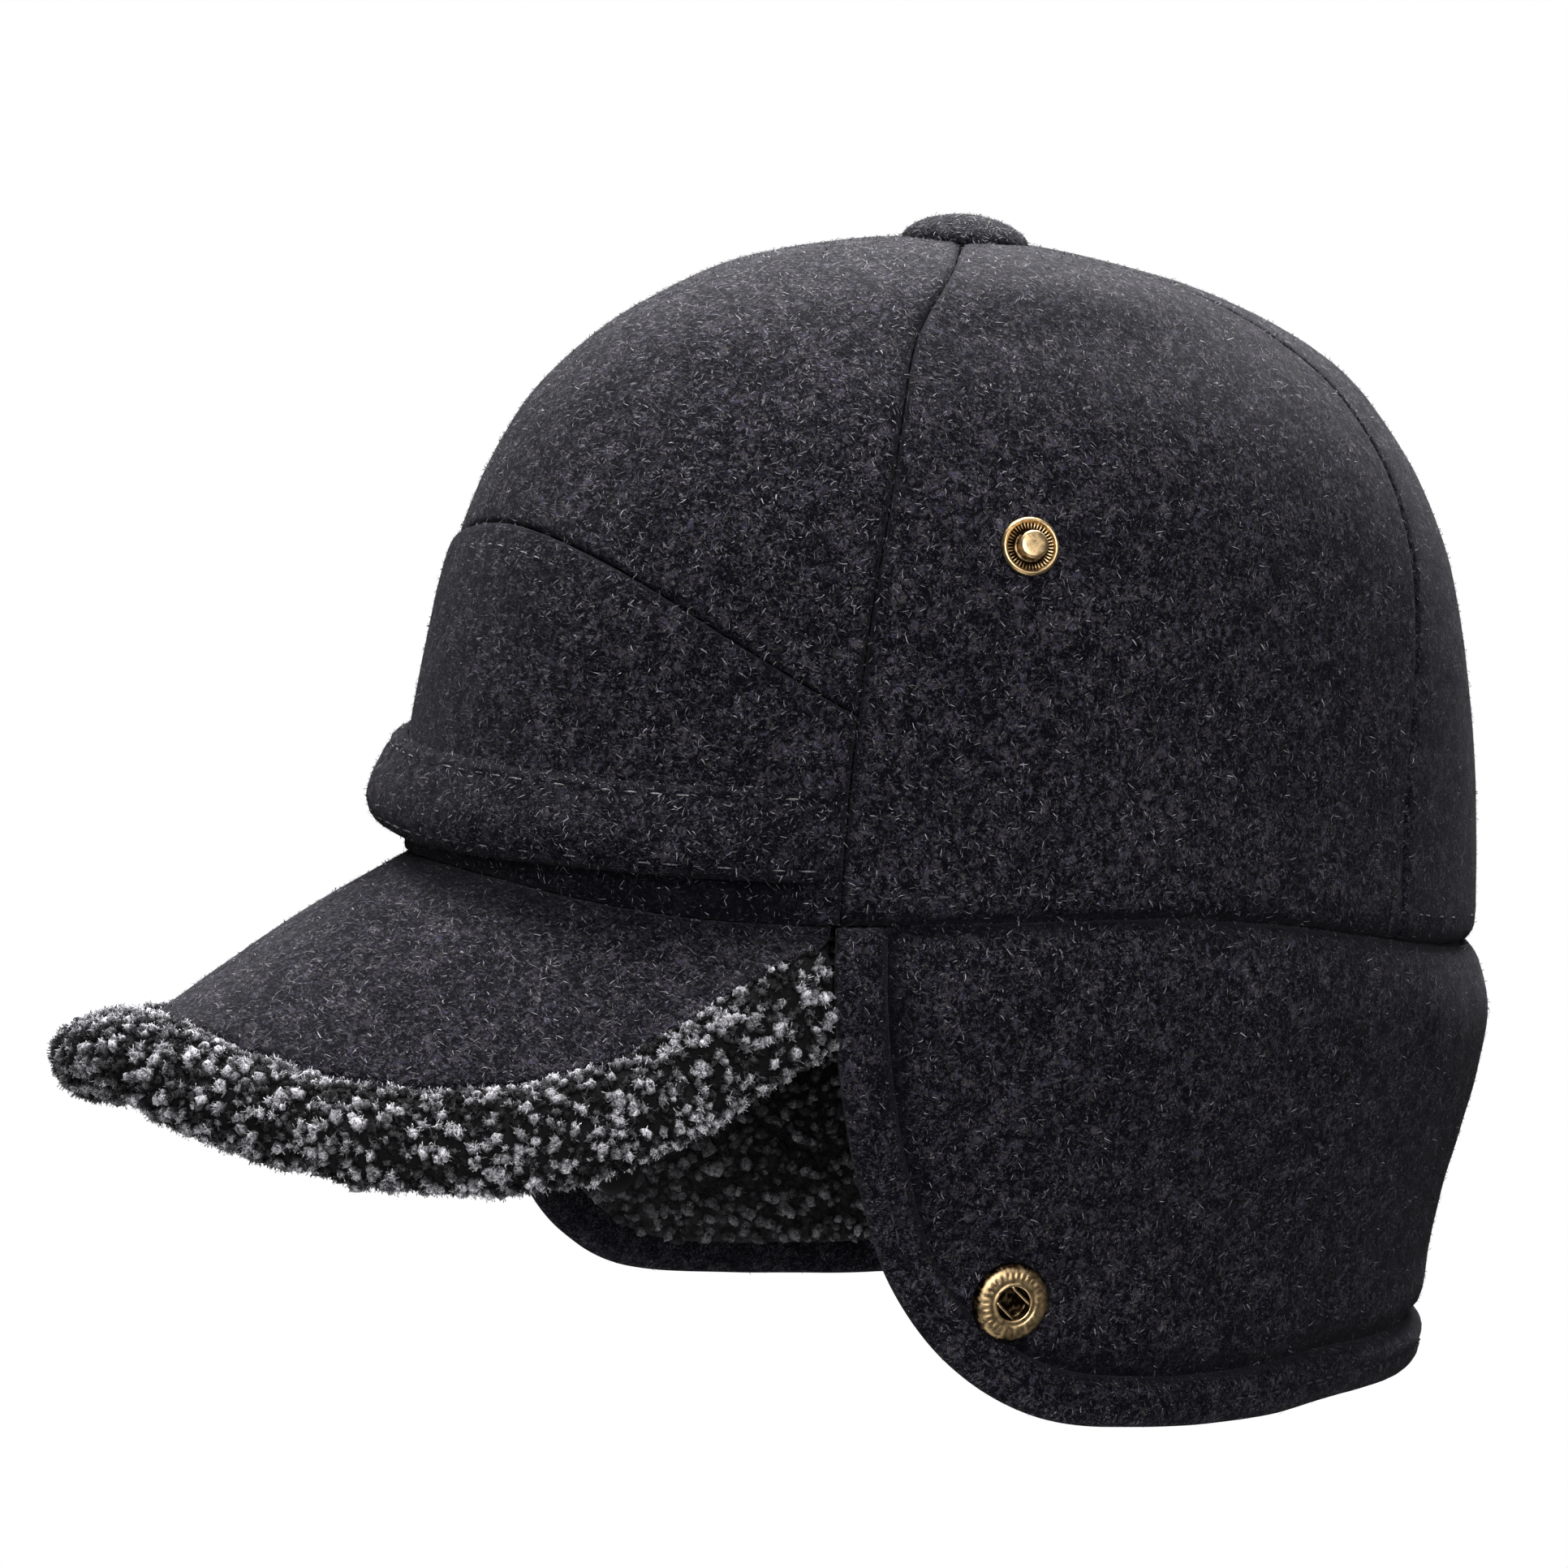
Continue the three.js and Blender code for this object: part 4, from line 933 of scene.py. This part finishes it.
def brim_frame(side):
    """The ways out over the peak's edge and up from it, along its slope."""
    here = np.clip(side, -0.99, 0.99)
    before, after = brim_edge(here - 0.01), brim_edge(here + 0.01)
    level_way = unit(np.stack([after[..., 1] - before[..., 1], before[..., 0] - after[..., 0], 0 * here], -1))
    slope = (both_ways(BRIM_TABLE["slope"], side) * DEGREE)[..., None]
    upright = np.array([0, 0, 1.0])
    out = level_way * np.cos(slope) - upright * np.sin(slope)
    up = level_way * np.sin(slope) + upright * np.cos(slope)
    return out, up


def brim_point(side, share, depth):
    side, share = np.broadcast_arrays(np.asarray(side, float), np.asarray(share, float))
    root = crown_at(side * BRIM_SPAN, 0 * side, -CROWN_WALL)
    root[..., 2] = rim_height(side * BRIM_SPAN) - BRIM_GAP - depth
    out, up = brim_frame(side)
    under = unit(up + np.array([0, 0, 1.0]))
    edge = brim_edge(side) - under * np.asarray(depth)[..., None] - out * BRIM_GAP
    point = mix(root, edge, share[..., None])
    point[..., 2] += BRIM_BULGE * 4 * share * (1 - share) * (1 - side ** 2)
    return point


def make_brim():
    side = np.linspace(-1, 1, 121)[:, None]
    share = np.linspace(0, 1, 40)[None, :]
    flat = brim_point(side, share, 0)
    relief = 0.16 * waves(flat, 30, PEAK_SEED) + 0.05 * waves(flat, 8, PEAK_SEED + 1)
    top = brim_point(side, share, -relief)
    bottom = brim_point(side, share, BRIM_WALL)
    cloth = make_wall("peak_cloth", top[::-1], bottom[::-1], WOOL, ["brim"])
    # Painted shade: a little over the peak, more towards its root under the band
    crease_shade = 0.06 + bell(share, *PEAK_ROOT_SHADE) + 0 * side
    paint(cloth, "crease_shade", np.concatenate([crease_shade, crease_shade]))
    return top[::-1]


def roll_point(side, turn, swell=0.0):
    side, turn = np.broadcast_arrays(np.asarray(side, float), np.asarray(turn, float))
    out, up = brim_frame(side)
    depth = (ROLL_DEPTH * both_ways(BRIM_TABLE["depth"], side))[..., None]
    turn = turn[..., None] * DEGREE
    point = brim_edge(side) + out * (BRIM_GAP + ROLL_WIDTH / 2 * (1 + np.cos(turn)))
    point = point + up * depth * (0.5 * np.sin(turn) - 0.21)
    return point + (out * np.cos(turn) + up * np.sin(turn)) * np.asarray(swell)[..., None]


def make_brim_fleece():
    """Fleece in a soft roll round the peak's edge that runs on under it: its ground, then its pile."""
    side = np.linspace(-1, 1, ROLL_STATIONS)[:, None]
    turn = np.linspace(168, -110, 24)[None, :]
    plain = roll_point(side, turn)
    rise_at_ends = 2.0 * smooth_step(turn, 70, 125) * smooth_step(side, 0.35, 0.8)
    low_on_top = (0.7 + 1.6 * smooth_step(-side, 0.1, 0.5)) * smooth_step(turn, 30, 80)
    swell = -1.5 - low_on_top + rise_at_ends
    swell = swell + 0.7 * waves(plain, 15, ROLL_SEED) + 0.35 * waves(plain, 6, ROLL_SEED + 1)
    fade = np.clip((172 - turn) / 20, 0, 1)
    roll = roll_point(side, turn, swell * fade)
    shares = np.linspace(1, 0, 8)[None, :]
    top_depth = BRIM_WALL + BRIM_GAP
    ground_depth = top_depth + FLEECE_WALL - 1.2
    plain_under = brim_point(side, shares, ground_depth)
    under = brim_point(side, shares, ground_depth + 0.5 * waves(plain_under, 7, ROLL_SEED + 2))
    over = brim_point(side, shares[:, ::-1], top_depth)
    out, up = brim_frame(side[:, 0])
    start = brim_edge(side[:, 0]) - unit(up + np.array([0, 0, 1.0])) * top_depth + out * BRIM_GAP
    rings = np.concatenate([start[:, None], roll, under[:, 1:], over[:, :-1]], 1)
    make_sweep("peak_fleece_ground", rings, FLEECE_BACK, ["brim_fleece"])
    for seed, (name, (first, last)) in enumerate(ROLL_PILES.items(), TUFT_SEED):
        make_pile(f"peak_fleece_{name}", roll[first:last][::-1], ROLL_SPACING, seed, PILE, FLEECE)
    make_pile("peak_fleece_under", under[::-1], UNDER_SPACING, UNDER_SEED, SHORT_PILE, FLEECE)


# Ear and neck flap

DEGREE_LENGTH = (FRONT_REACH + BACK_REACH + 2 * HALF_WIDTH) / 4 * DEGREE


def flap_point(angle, drop):
    share = np.asarray(drop, float) / FLAP_DROP
    stand = FLAP_PUFF * along(FLAP_FORM["puff"], share) - FLAP_LEAN * along(FLAP_FORM["lean"], share)
    forward = np.cos(angle * DEGREE)
    reach = np.where(forward > 0, FRONT_REACH, BACK_REACH) + stand
    x = (HALF_WIDTH + stand) * np.sin(angle * DEGREE)
    return np.stack([x, -reach * forward, rim_height(angle) - FLAP_GAP - drop], -1)


def flap_normal(angle, drop):
    return normal_of(flap_point, angle, drop, -0.4, 0.4)


def flap_at(angle, drop, lift):
    return flap_point(angle, drop) + flap_normal(angle, drop) * np.asarray(lift)[..., None]


def flap_edge(share, inward):
    """The free edge moved in over the flap: its angle and drop."""
    share = np.asarray(share, float)
    last = FLAP_TABLE["angle"][-1]

    def read(at):
        across = (along(FLAP_TABLE["angle"], at) - last + FLAP_FRONT) * DEGREE_LENGTH
        return across, along(FLAP_TABLE["drop"], at) * FLAP_DROP

    before = read(np.maximum(share - 0.02, 0))
    after = read(np.minimum(share + 0.02, 1))
    edge = read(share)
    heading = np.stack([after[0] - before[0], after[1] - before[1]], -1)
    heading = unit(np.where(share[..., None] == 0, np.array([-1.0, 0.0]), heading))
    angle = (edge[0] - heading[..., 1] * inward) / DEGREE_LENGTH
    drop = np.where(share == 1, 0, np.maximum(edge[1] + heading[..., 0] * inward, 0))
    return angle, drop


def flap_place(side, down, inward):
    """The flap inside its hem: its four edges blended together."""
    across = np.abs(side)
    top = flap_edge(np.array(1.0), inward)
    corner = flap_edge(np.array(CORNER_SHARE), inward)
    back = flap_edge(np.array(0.0), inward)
    low = flap_edge(CORNER_SHARE * across, inward)
    front = flap_edge(1 - (1 - CORNER_SHARE) * down, inward)
    angle = (
        mix(mix(180, top[0], across), low[0], down) + mix(180, front[0], across)
        - mix(mix(180, top[0], across), mix(180, corner[0], across), down)
    )
    drop = mix(0, low[1], down) + mix(back[1] * down, front[1], across)
    drop = drop - down * mix(back[1], corner[1], across)
    return angle, drop


def mirrored(side, points):
    points[..., 0] = np.where(side > 0, -points[..., 0], points[..., 0])
    return points


def flap_grid(columns, rows, inward):
    side = mix(-1, 1, dense_shares(columns, 5, 0.012))[:, None]
    down = dense_shares(rows, 5, 0.05)[None, :]
    side, down = np.broadcast_arrays(side, down)
    angle, drop = flap_place(side, down, inward)
    return side, angle, drop


# How far the flap's cloth and lining run on under the hem, and where the flap is pinched at its top
TUCK, PINCH_ANGLE = 2.2, 64.5


def make_flap():
    """The flap's outer wool, which runs in under its hem."""
    side, angle, drop = flap_grid(160, 34, HEM_WIDTH - TUCK)
    flat = mirrored(side, flap_point(angle, drop))
    left, right, high, low = edge_distances(flat)
    lift = rolled(high, 5.0, 2.3)
    lift = lift - bell(angle - PINCH_ANGLE, 1.5, 3.2) * bell(high - 1, 1, 5)
    hem_side = np.minimum(np.minimum(low, left), right)
    lift = lift - 1.9 * (1 - smooth_step(hem_side, TUCK, TUCK + 4.6)) + bell(hem_side - 9, 0.45, 4)
    lift = lift + 0.5 * waves(flat, 42, FLAP_SEED) * smooth_step(high, 0, 14)
    lift = lift + 0.10 * waves(flat, 10, FLAP_SEED + 1)
    outer = mirrored(side, flap_at(angle, drop, lift))
    inner = mirrored(side, flap_at(angle, drop, -FLAP_WALL))
    # Painted shade along the flap's seam to the crown and in the groove by its hem, and dark on its inner face
    crease_shade = np.maximum(bell(high, *FLAP_SEAM_SHADE), bell(hem_side - TUCK, *HEM_SHADE))
    make_cloth("flap_cloth", outer[::-1], inner[::-1], crease_shade[::-1], 0.8, ["ear_flap"])
    return outer[::-1]


def make_lining():
    """The flap's fleece: its knitted ground, then its pile in two halves."""
    lining_top = FLAP_WALL + FLAP_GAP
    side, angle, drop = flap_grid(90, 22, HEM_WIDTH - TUCK)
    flat = mirrored(side, flap_point(angle, drop))
    lumps = 0.55 * waves(flat, 7, FLAP_SEED + 2) + 0.4 * waves(flat, 15, FLAP_SEED + 3)
    face = mirrored(side, flap_at(angle, drop, -lining_top - LINING_WALL + 1.3 + lumps))
    back = mirrored(side, flap_at(angle, drop, -lining_top))
    make_wall("flap_lining_ground", back[::-1], face[::-1], LINING_BACK, ["flap_lining"])
    half = len(face) // 2
    for seed, (name, part) in enumerate((("right", face[:half + 1]), ("left", face[half:])), LINING_SEED):
        make_pile(f"flap_lining_{name}", part, LINING_SPACING, seed, SHORT_PILE, LINING)


# Section of the hem: how far in from the free edge as a share of its width, lift as a share of its wall, and
# how dark the painted shade in its folds and grooves is
HEM_SECTION = {
    "inward": (
        0.98, 0.975, 0.945, 0.89, 0.81, 0.71, 0.60, 0.50, 0.41, 0.26,
        0.12, 0.03, 0, 0.03, 0.12, 0.30, 0.60, 0.88, 0.97,
    ),
    "lift": (
        -0.55, -0.40, -0.24, -0.09, 0.03, 0.09, 0.095, 0.035, 0.08, 0.04,
        -0.07, -0.22, -0.45, -0.68, -0.86, -0.97, -1.00, -0.97, -0.85,
    ),
    "crease_shade": (0.9, 0.9, 0.9, 0.65, 0.2, 0, 0, 0.45, 0, 0, 0, 0, 0, 0.1, 0.3, 0.4, 0.4, 0.5, 0.8),
}


def make_hem():
    """Wool folded round the free edge, with a second fold line near its middle and round ends at its top."""
    side = np.linspace(-1, 1, 260)[:, None]
    section = {name: np.array(column, float)[None, :] for name, column in HEM_SECTION.items()}
    side, inward, share = np.broadcast_arrays(side, section["inward"] * HEM_WIDTH, section["lift"])
    angle, drop = flap_edge(np.abs(side), inward)
    flat = mirrored(side, flap_point(angle, drop))
    lift = HEM_PROUD + share * HEM_WALL
    lift = lift + 0.22 * waves(flat, 20, HEM_SEED) + 0.08 * waves(flat, 6, HEM_SEED + 1)
    lift = lift + rolled(drop, 4.0, 2.6) * (share > -0.3)
    rings = mirrored(side, flap_at(angle, drop, lift))
    hem = make_sweep("flap_hem_cloth", rings, WOOL, ["flap_hem"])
    # Painted shade in the hem's folds and grooves, and dark at its ends
    paint(hem, "crease_shade", np.concatenate([(section["crease_shade"] + 0 * side).ravel(), [0.8, 0.8]]))
    return rings[:, 1:13]


# Stitches

def make_stitches(name, path, normals, kind, material):
    """A row of thread stitches along a path of points, each a short rounded bar."""
    pitch, length, radius, sink = (STITCHES[kind][size] for size in ("pitch", "length", "radius", "sink"))
    steps = np.linalg.norm(np.diff(path, axis=0), axis=-1)
    at = np.concatenate([[0], np.cumsum(steps)])
    starts = np.arange(pitch * 0.5, at[-1] - length, pitch)
    sections, sides = 4, 4
    shares = np.linspace(0, 1, sections)
    place = starts[:, None] + shares[None] * length
    centre = np.stack([np.interp(place, at, path[:, k]) for k in range(3)], -1)
    normal = unit(np.stack([np.interp(place, at, normals[:, k]) for k in range(3)], -1))
    way = unit(np.gradient(centre, axis=1))
    across = np.cross(way, normal)
    bow = 4 * shares * (1 - shares)
    depth = sink + radius * np.random.default_rng(len(starts)).uniform(-0.9, 1.1, (len(starts), 1))
    centre = centre + normal * (radius * 0.9 * bow[None] - depth)[..., None]
    thick = radius * np.array([0.4, 1, 1, 0.4])[None, :, None, None]
    spin = (np.arange(sides) / sides * 2 * math.pi)[None, None, :, None]
    round_it = across[:, :, None] * np.cos(spin) * 1.25 + normal[:, :, None] * np.sin(spin)
    rings = centre[:, :, None] + thick * round_it
    count = len(starts)
    index = np.arange(count * sections * sides).reshape(count, sections, sides)
    wrapped = np.concatenate([index, index[..., :1]], -1)
    quads = np.stack([wrapped[:, :-1, :-1], wrapped[:, :-1, 1:], wrapped[:, 1:, 1:], wrapped[:, 1:, :-1]], -1)
    lids = np.concatenate([index[:, 0, ::-1], index[:, -1]])
    make_piece(name, rings, [quads.reshape(-1, 4), lids], material)


def make_all_stitches(band_rows):
    for name, path in zip(("top", "foot"), band_rows):
        outward = unit(path * np.array([1, 1, 0.0]))
        make_stitches(f"band_stitches_{name}", path, outward, "band", PALE_THREAD)
    angle = np.linspace(2 - SIDE_SEAM, SIDE_SEAM - 2, 300)
    share = front_column("chevron", angle) - 3.4 / CROWN_HEIGHT
    path = crown_at(angle, share, LOWER_PANEL_PROUD - 0.1)
    make_stitches("chevron_stitches", path, crown_normal(angle, share), "chevron", PALE_THREAD)
    angle = np.linspace(SIDE_SEAM + 1, 360 - SIDE_SEAM - 1, 700)
    share = np.full(angle.shape, 0.0317)
    path = crown_at(angle, share, -0.2)
    make_stitches("rim_stitches", path, crown_normal(angle, share), "edge", DARK_THREAD)
    side = np.linspace(-0.995, 0.995, 900)
    angle, drop = flap_edge(np.abs(side), 0.46 * HEM_WIDTH)
    path = mirrored(side, flap_at(angle, drop, HEM_PROUD + 0.25))
    make_stitches("hem_stitches", path, mirrored(side, flap_normal(angle, drop)), "edge", DARK_THREAD)


# Press studs

def place_turned(points, origin, axis):
    """Points turned so that +Z lies along an axis, then moved to an origin."""
    quaternion = Vector((0, 0, 1)).rotation_difference(Vector(axis))
    turn = np.array(quaternion.to_matrix())
    return points @ turn.T + origin


def lathe(profile, around, relief=None):
    """Rings of a profile turned round +Z, raised by a relief."""
    radius, height = (np.asarray(profile[name], float)[:, None] for name in ("radius", "height"))
    turn = (np.arange(around) / around * 2 * math.pi)[None, :]
    if relief is not None:
        inside = smooth_step(radius, *relief["start"]) * (1 - smooth_step(radius, *relief["end"]))
        ribs = np.clip(np.cos(relief["count"] * turn) * relief["sharp"], -1, 1)
        height = height + relief["height"] * inside * ribs
    return np.stack([radius * np.cos(turn), radius * np.sin(turn), height + 0 * turn], -1)


def finer(profile, steps=2):
    """The same profile with more points on a smooth curve through it."""
    share = np.linspace(0, 1, (len(profile["radius"]) - 1) * steps + 1)
    return {name: along(column, share) for name, column in profile.items()}


def make_turned(name, profile, around, origin, axis, material, replaces, relief=None, wear_and_shade=None):
    profile = finer(profile)
    rings = lathe(profile, around, relief)
    piece = make_sweep(name, place_turned(rings, origin, axis), material, replaces)
    if wear_and_shade is not None:
        height = rings[..., 2]
        values = wear_and_shade(profile["radius"][:, None] + 0 * height, height)
        paint(piece, "wear_and_shade", np.concatenate([values.ravel(), [0.1, values[-1].mean()]]))


def stud_wear(radius, height):
    """Bright on the ribs between rim and post, and towards the top elsewhere."""
    return np.where((radius > 2.9) & (radius < 4.5), (height - 0.62) * 5, height / 1.3)


def socket_wear_and_shade(radius, height):
    """Bright on the ring's top, and dark down in its mouth: patina, and painted shade that makes the shallow
    bore read as deep.
    """
    return np.clip((height - 1.55) / 0.5, 0, 1) * np.where(radius < 3.2, 0, 1)


def make_snaps():
    """A stud on the crown, and a socket with its spring and inner cap on the flap, on each side."""
    for name, side in (("left", 1), ("right", -1)):
        flip = np.array([side, 1, 1])
        origin = crown_at(STUD_ANGLE, STUD_SHARE, SNAP_GAP * 0.3) * flip
        axis = crown_normal(np.array(STUD_ANGLE), np.array(STUD_SHARE)) * flip
        make_turned(
            f"stud_{name}_brass", STUD_PROFILE, 160, origin, axis, BRASS, [f"stud_{name}"],
            STUD_RIBS, stud_wear,
        )
        axis = flap_normal(np.array(SOCKET_ANGLE), np.array(SOCKET_DROP)) * flip
        origin = flap_at(SOCKET_ANGLE, SOCKET_DROP, HEM_PROUD + SNAP_GAP) * flip
        make_turned(
            f"socket_{name}_brass", SOCKET_PROFILE, 120, origin, axis, BRASS, [f"socket_{name}"],
            SOCKET_BEADS, socket_wear_and_shade,
        )
        make_spring(f"socket_{name}_spring", origin, axis)
        lift = -FLAP_WALL - FLAP_GAP - LINING_WALL - SNAP_GAP
        origin = flap_at(SOCKET_ANGLE, SOCKET_DROP, lift) * flip
        make_turned(
            f"snap_cap_{name}_plastic", CAP_PROFILE, 64, origin, -axis, PLASTIC,
            [f"snap_cap_{name}"],
        )


def make_spring(name, origin, axis):
    """Two straight spring wires across the socket's mouth."""
    stations, sides = 7, 8
    spin = np.arange(sides) / sides * 2 * math.pi
    circle = np.stack([0 * spin, np.cos(spin) * SPRING_RADIUS, np.sin(spin) * SPRING_RADIUS], -1)
    turn = SPRING_TURN * DEGREE
    spun = np.array([[math.cos(turn), -math.sin(turn), 0], [math.sin(turn), math.cos(turn), 0], [0, 0, 1]])
    points, quads, lids = [], [], []
    for number, offset in enumerate(SPRING_OFFSETS):
        half = math.sqrt(SPRING_REACH ** 2 - offset ** 2)
        places = np.linspace(-half, half, stations)
        wire = np.stack([circle + np.array([at, offset, SPRING_HEIGHT]) for at in places]) @ spun.T
        points += [wire.reshape(-1, 3), wire[:1].mean(1), wire[-1:].mean(1)]
        for kept, block in zip((quads, lids), swept_faces(stations, sides)):
            kept.append(block + number * (stations * sides + 2))
    faces = [np.concatenate(quads), np.concatenate(lids)]
    spring = make_piece(name, place_turned(np.concatenate(points), origin, axis), faces, BRASS)
    paint(spring, "wear_and_shade", np.full(len(spring.data.vertices), 0.8))


# Stage

def make_camera():
    tip = Matrix.Rotation(-TIP * DEGREE, 4, "X")
    azimuth, elevation = AZIMUTH * DEGREE, ELEVATION * DEGREE
    reach = math.cos(elevation)
    back = Vector((math.sin(azimuth) * reach, -math.cos(azimuth) * reach, math.sin(elevation)))
    right = Vector((math.cos(azimuth), math.sin(azimuth), 0))
    up = back.cross(right)
    place = (Vector(AIM) + back * DISTANCE) * MM
    stand = Matrix((right, up, back)).transposed().to_4x4()
    stand.translation = place
    data = bpy.data.cameras.new("photo_camera")
    data.sensor_width = 36
    data.lens = data.sensor_width * PIXELS_PER_MM * DISTANCE / PHOTO_PIXELS
    data.clip_end = 100
    camera = bpy.data.objects.new("photo_camera", data)
    camera.matrix_world = tip.inverted() @ stand
    bpy.context.scene.collection.objects.link(camera)
    bpy.context.scene.camera = camera


def area_light(name, place, power):
    data = bpy.data.lights.new(name, "AREA")
    data.size = LIGHT_SIZE
    data.energy = power
    light = bpy.data.objects.new(name, data)
    light.location = place
    light.rotation_euler = (Vector(LIGHT_AIM) - Vector(place)).to_track_quat("-Z", "Y").to_euler()
    bpy.context.scene.collection.objects.link(light)


# Brightness round the studio by height of the direction, from straight down to straight up
STUDIO = (
    {"height": -1.0, "bright": 0.09},
    {"height": 0.0, "bright": 0.065},
    {"height": 1.0, "bright": 0.08},
)

# Soft lights that face the cap's middle: places and sizes in metres, power in watts
LIGHT_AIM, LIGHT_SIZE = (0, 0, 0.02), 0.8
LIGHTS = (
    {"name": "key", "place": (-0.9, -0.3, 1.2), "power": 42},
    {"name": "top", "place": (0, 0, 1.5), "power": 30},
    {"name": "rear", "place": (-0.8, 0.8, 1.1), "power": 82},
    {"name": "under", "place": (0.1, -0.3, -1.2), "power": 7},
    {"name": "fill", "place": (1.3, -0.75, 0.4), "power": 25},
)

# Outline of the pale floor and the round backdrop that it curves up into, in metres
SWEEP = {
    "radius": (0.01, 8.0, 11.0, 12.0, 8.0, 0.01),
    "height": (-1.7, -1.7, -0.7, 4.0, 9.0, 11.0),
}


def make_backdrop():
    """Floor and backdrop in one white sheet, which the camera sees and which lights nothing."""
    around = 64
    rings = lathe(SWEEP, around)
    index = np.arange(len(rings) * around).reshape(len(rings), around)
    quads = grid_quads(np.concatenate([index, index[:, :1]], 1))
    mesh = bpy.data.meshes.new("studio_sweep")
    mesh.from_pydata(rings.reshape(-1, 3).tolist(), [], quads.tolist())
    sheet = bpy.data.objects.new("studio_sweep", mesh)
    bpy.context.scene.collection.objects.link(sheet)
    made = Paint("studio_white")
    made.set(Base_Color=(0, 0, 0, 1), Specular_IOR_Level=0.0)
    made.set(Emission_Color=(1, 1, 1, 1), Emission_Strength=1.0)
    mesh.materials.append(made.material)
    sheet.visible_diffuse = False
    sheet.visible_glossy = False
    sheet.visible_transmission = False
    sheet.visible_shadow = False


def make_studio():
    world = bpy.data.worlds.new("studio")
    bpy.context.scene.world = world
    world.use_nodes = True
    tree = world.node_tree
    place = tree.nodes.new("ShaderNodeTexCoord").outputs["Generated"]
    parts = tree.nodes.new("ShaderNodeSeparateXYZ")
    tree.links.new(place, parts.inputs["Vector"])
    share = tree.nodes.new("ShaderNodeMapRange")
    share.inputs["From Min"].default_value = -1
    share.inputs["From Max"].default_value = 1
    tree.links.new(parts.outputs["Z"], share.inputs["Value"])
    ramp = tree.nodes.new("ShaderNodeValToRGB")
    tree.links.new(share.outputs["Result"], ramp.inputs["Fac"])
    while len(ramp.color_ramp.elements) < len(STUDIO):
        ramp.color_ramp.elements.new(0.5)
    for stop, row in zip(ramp.color_ramp.elements, STUDIO):
        stop.position = (row["height"] + 1) / 2
        stop.color = (row["bright"], row["bright"], row["bright"], 1)
    tree.links.new(ramp.outputs["Color"], tree.nodes["Background"].inputs["Color"])
    for row in LIGHTS:
        area_light(**row)
    bpy.context.scene.view_settings.view_transform = "Standard"


def make_cap():
    """Every piece of the cap, its fibres last."""
    surfaces = make_crown()
    make_allowances()
    surfaces["band"], band_rows = make_band()
    surfaces["button"] = make_button()
    surfaces["peak"] = make_brim()
    make_brim_fleece()
    surfaces["flap"] = make_flap()
    make_lining()
    surfaces["hem"] = make_hem()
    make_flap_allowance()
    make_all_stitches(band_rows)
    make_snaps()
    for seed, (name, count) in enumerate(FIBRE_COUNTS.items(), FIBRE_SEED):
        make_fibres(f"{name}_fibres", surfaces[name], count, seed)


make_camera()
make_cap()
make_studio()
make_backdrop()
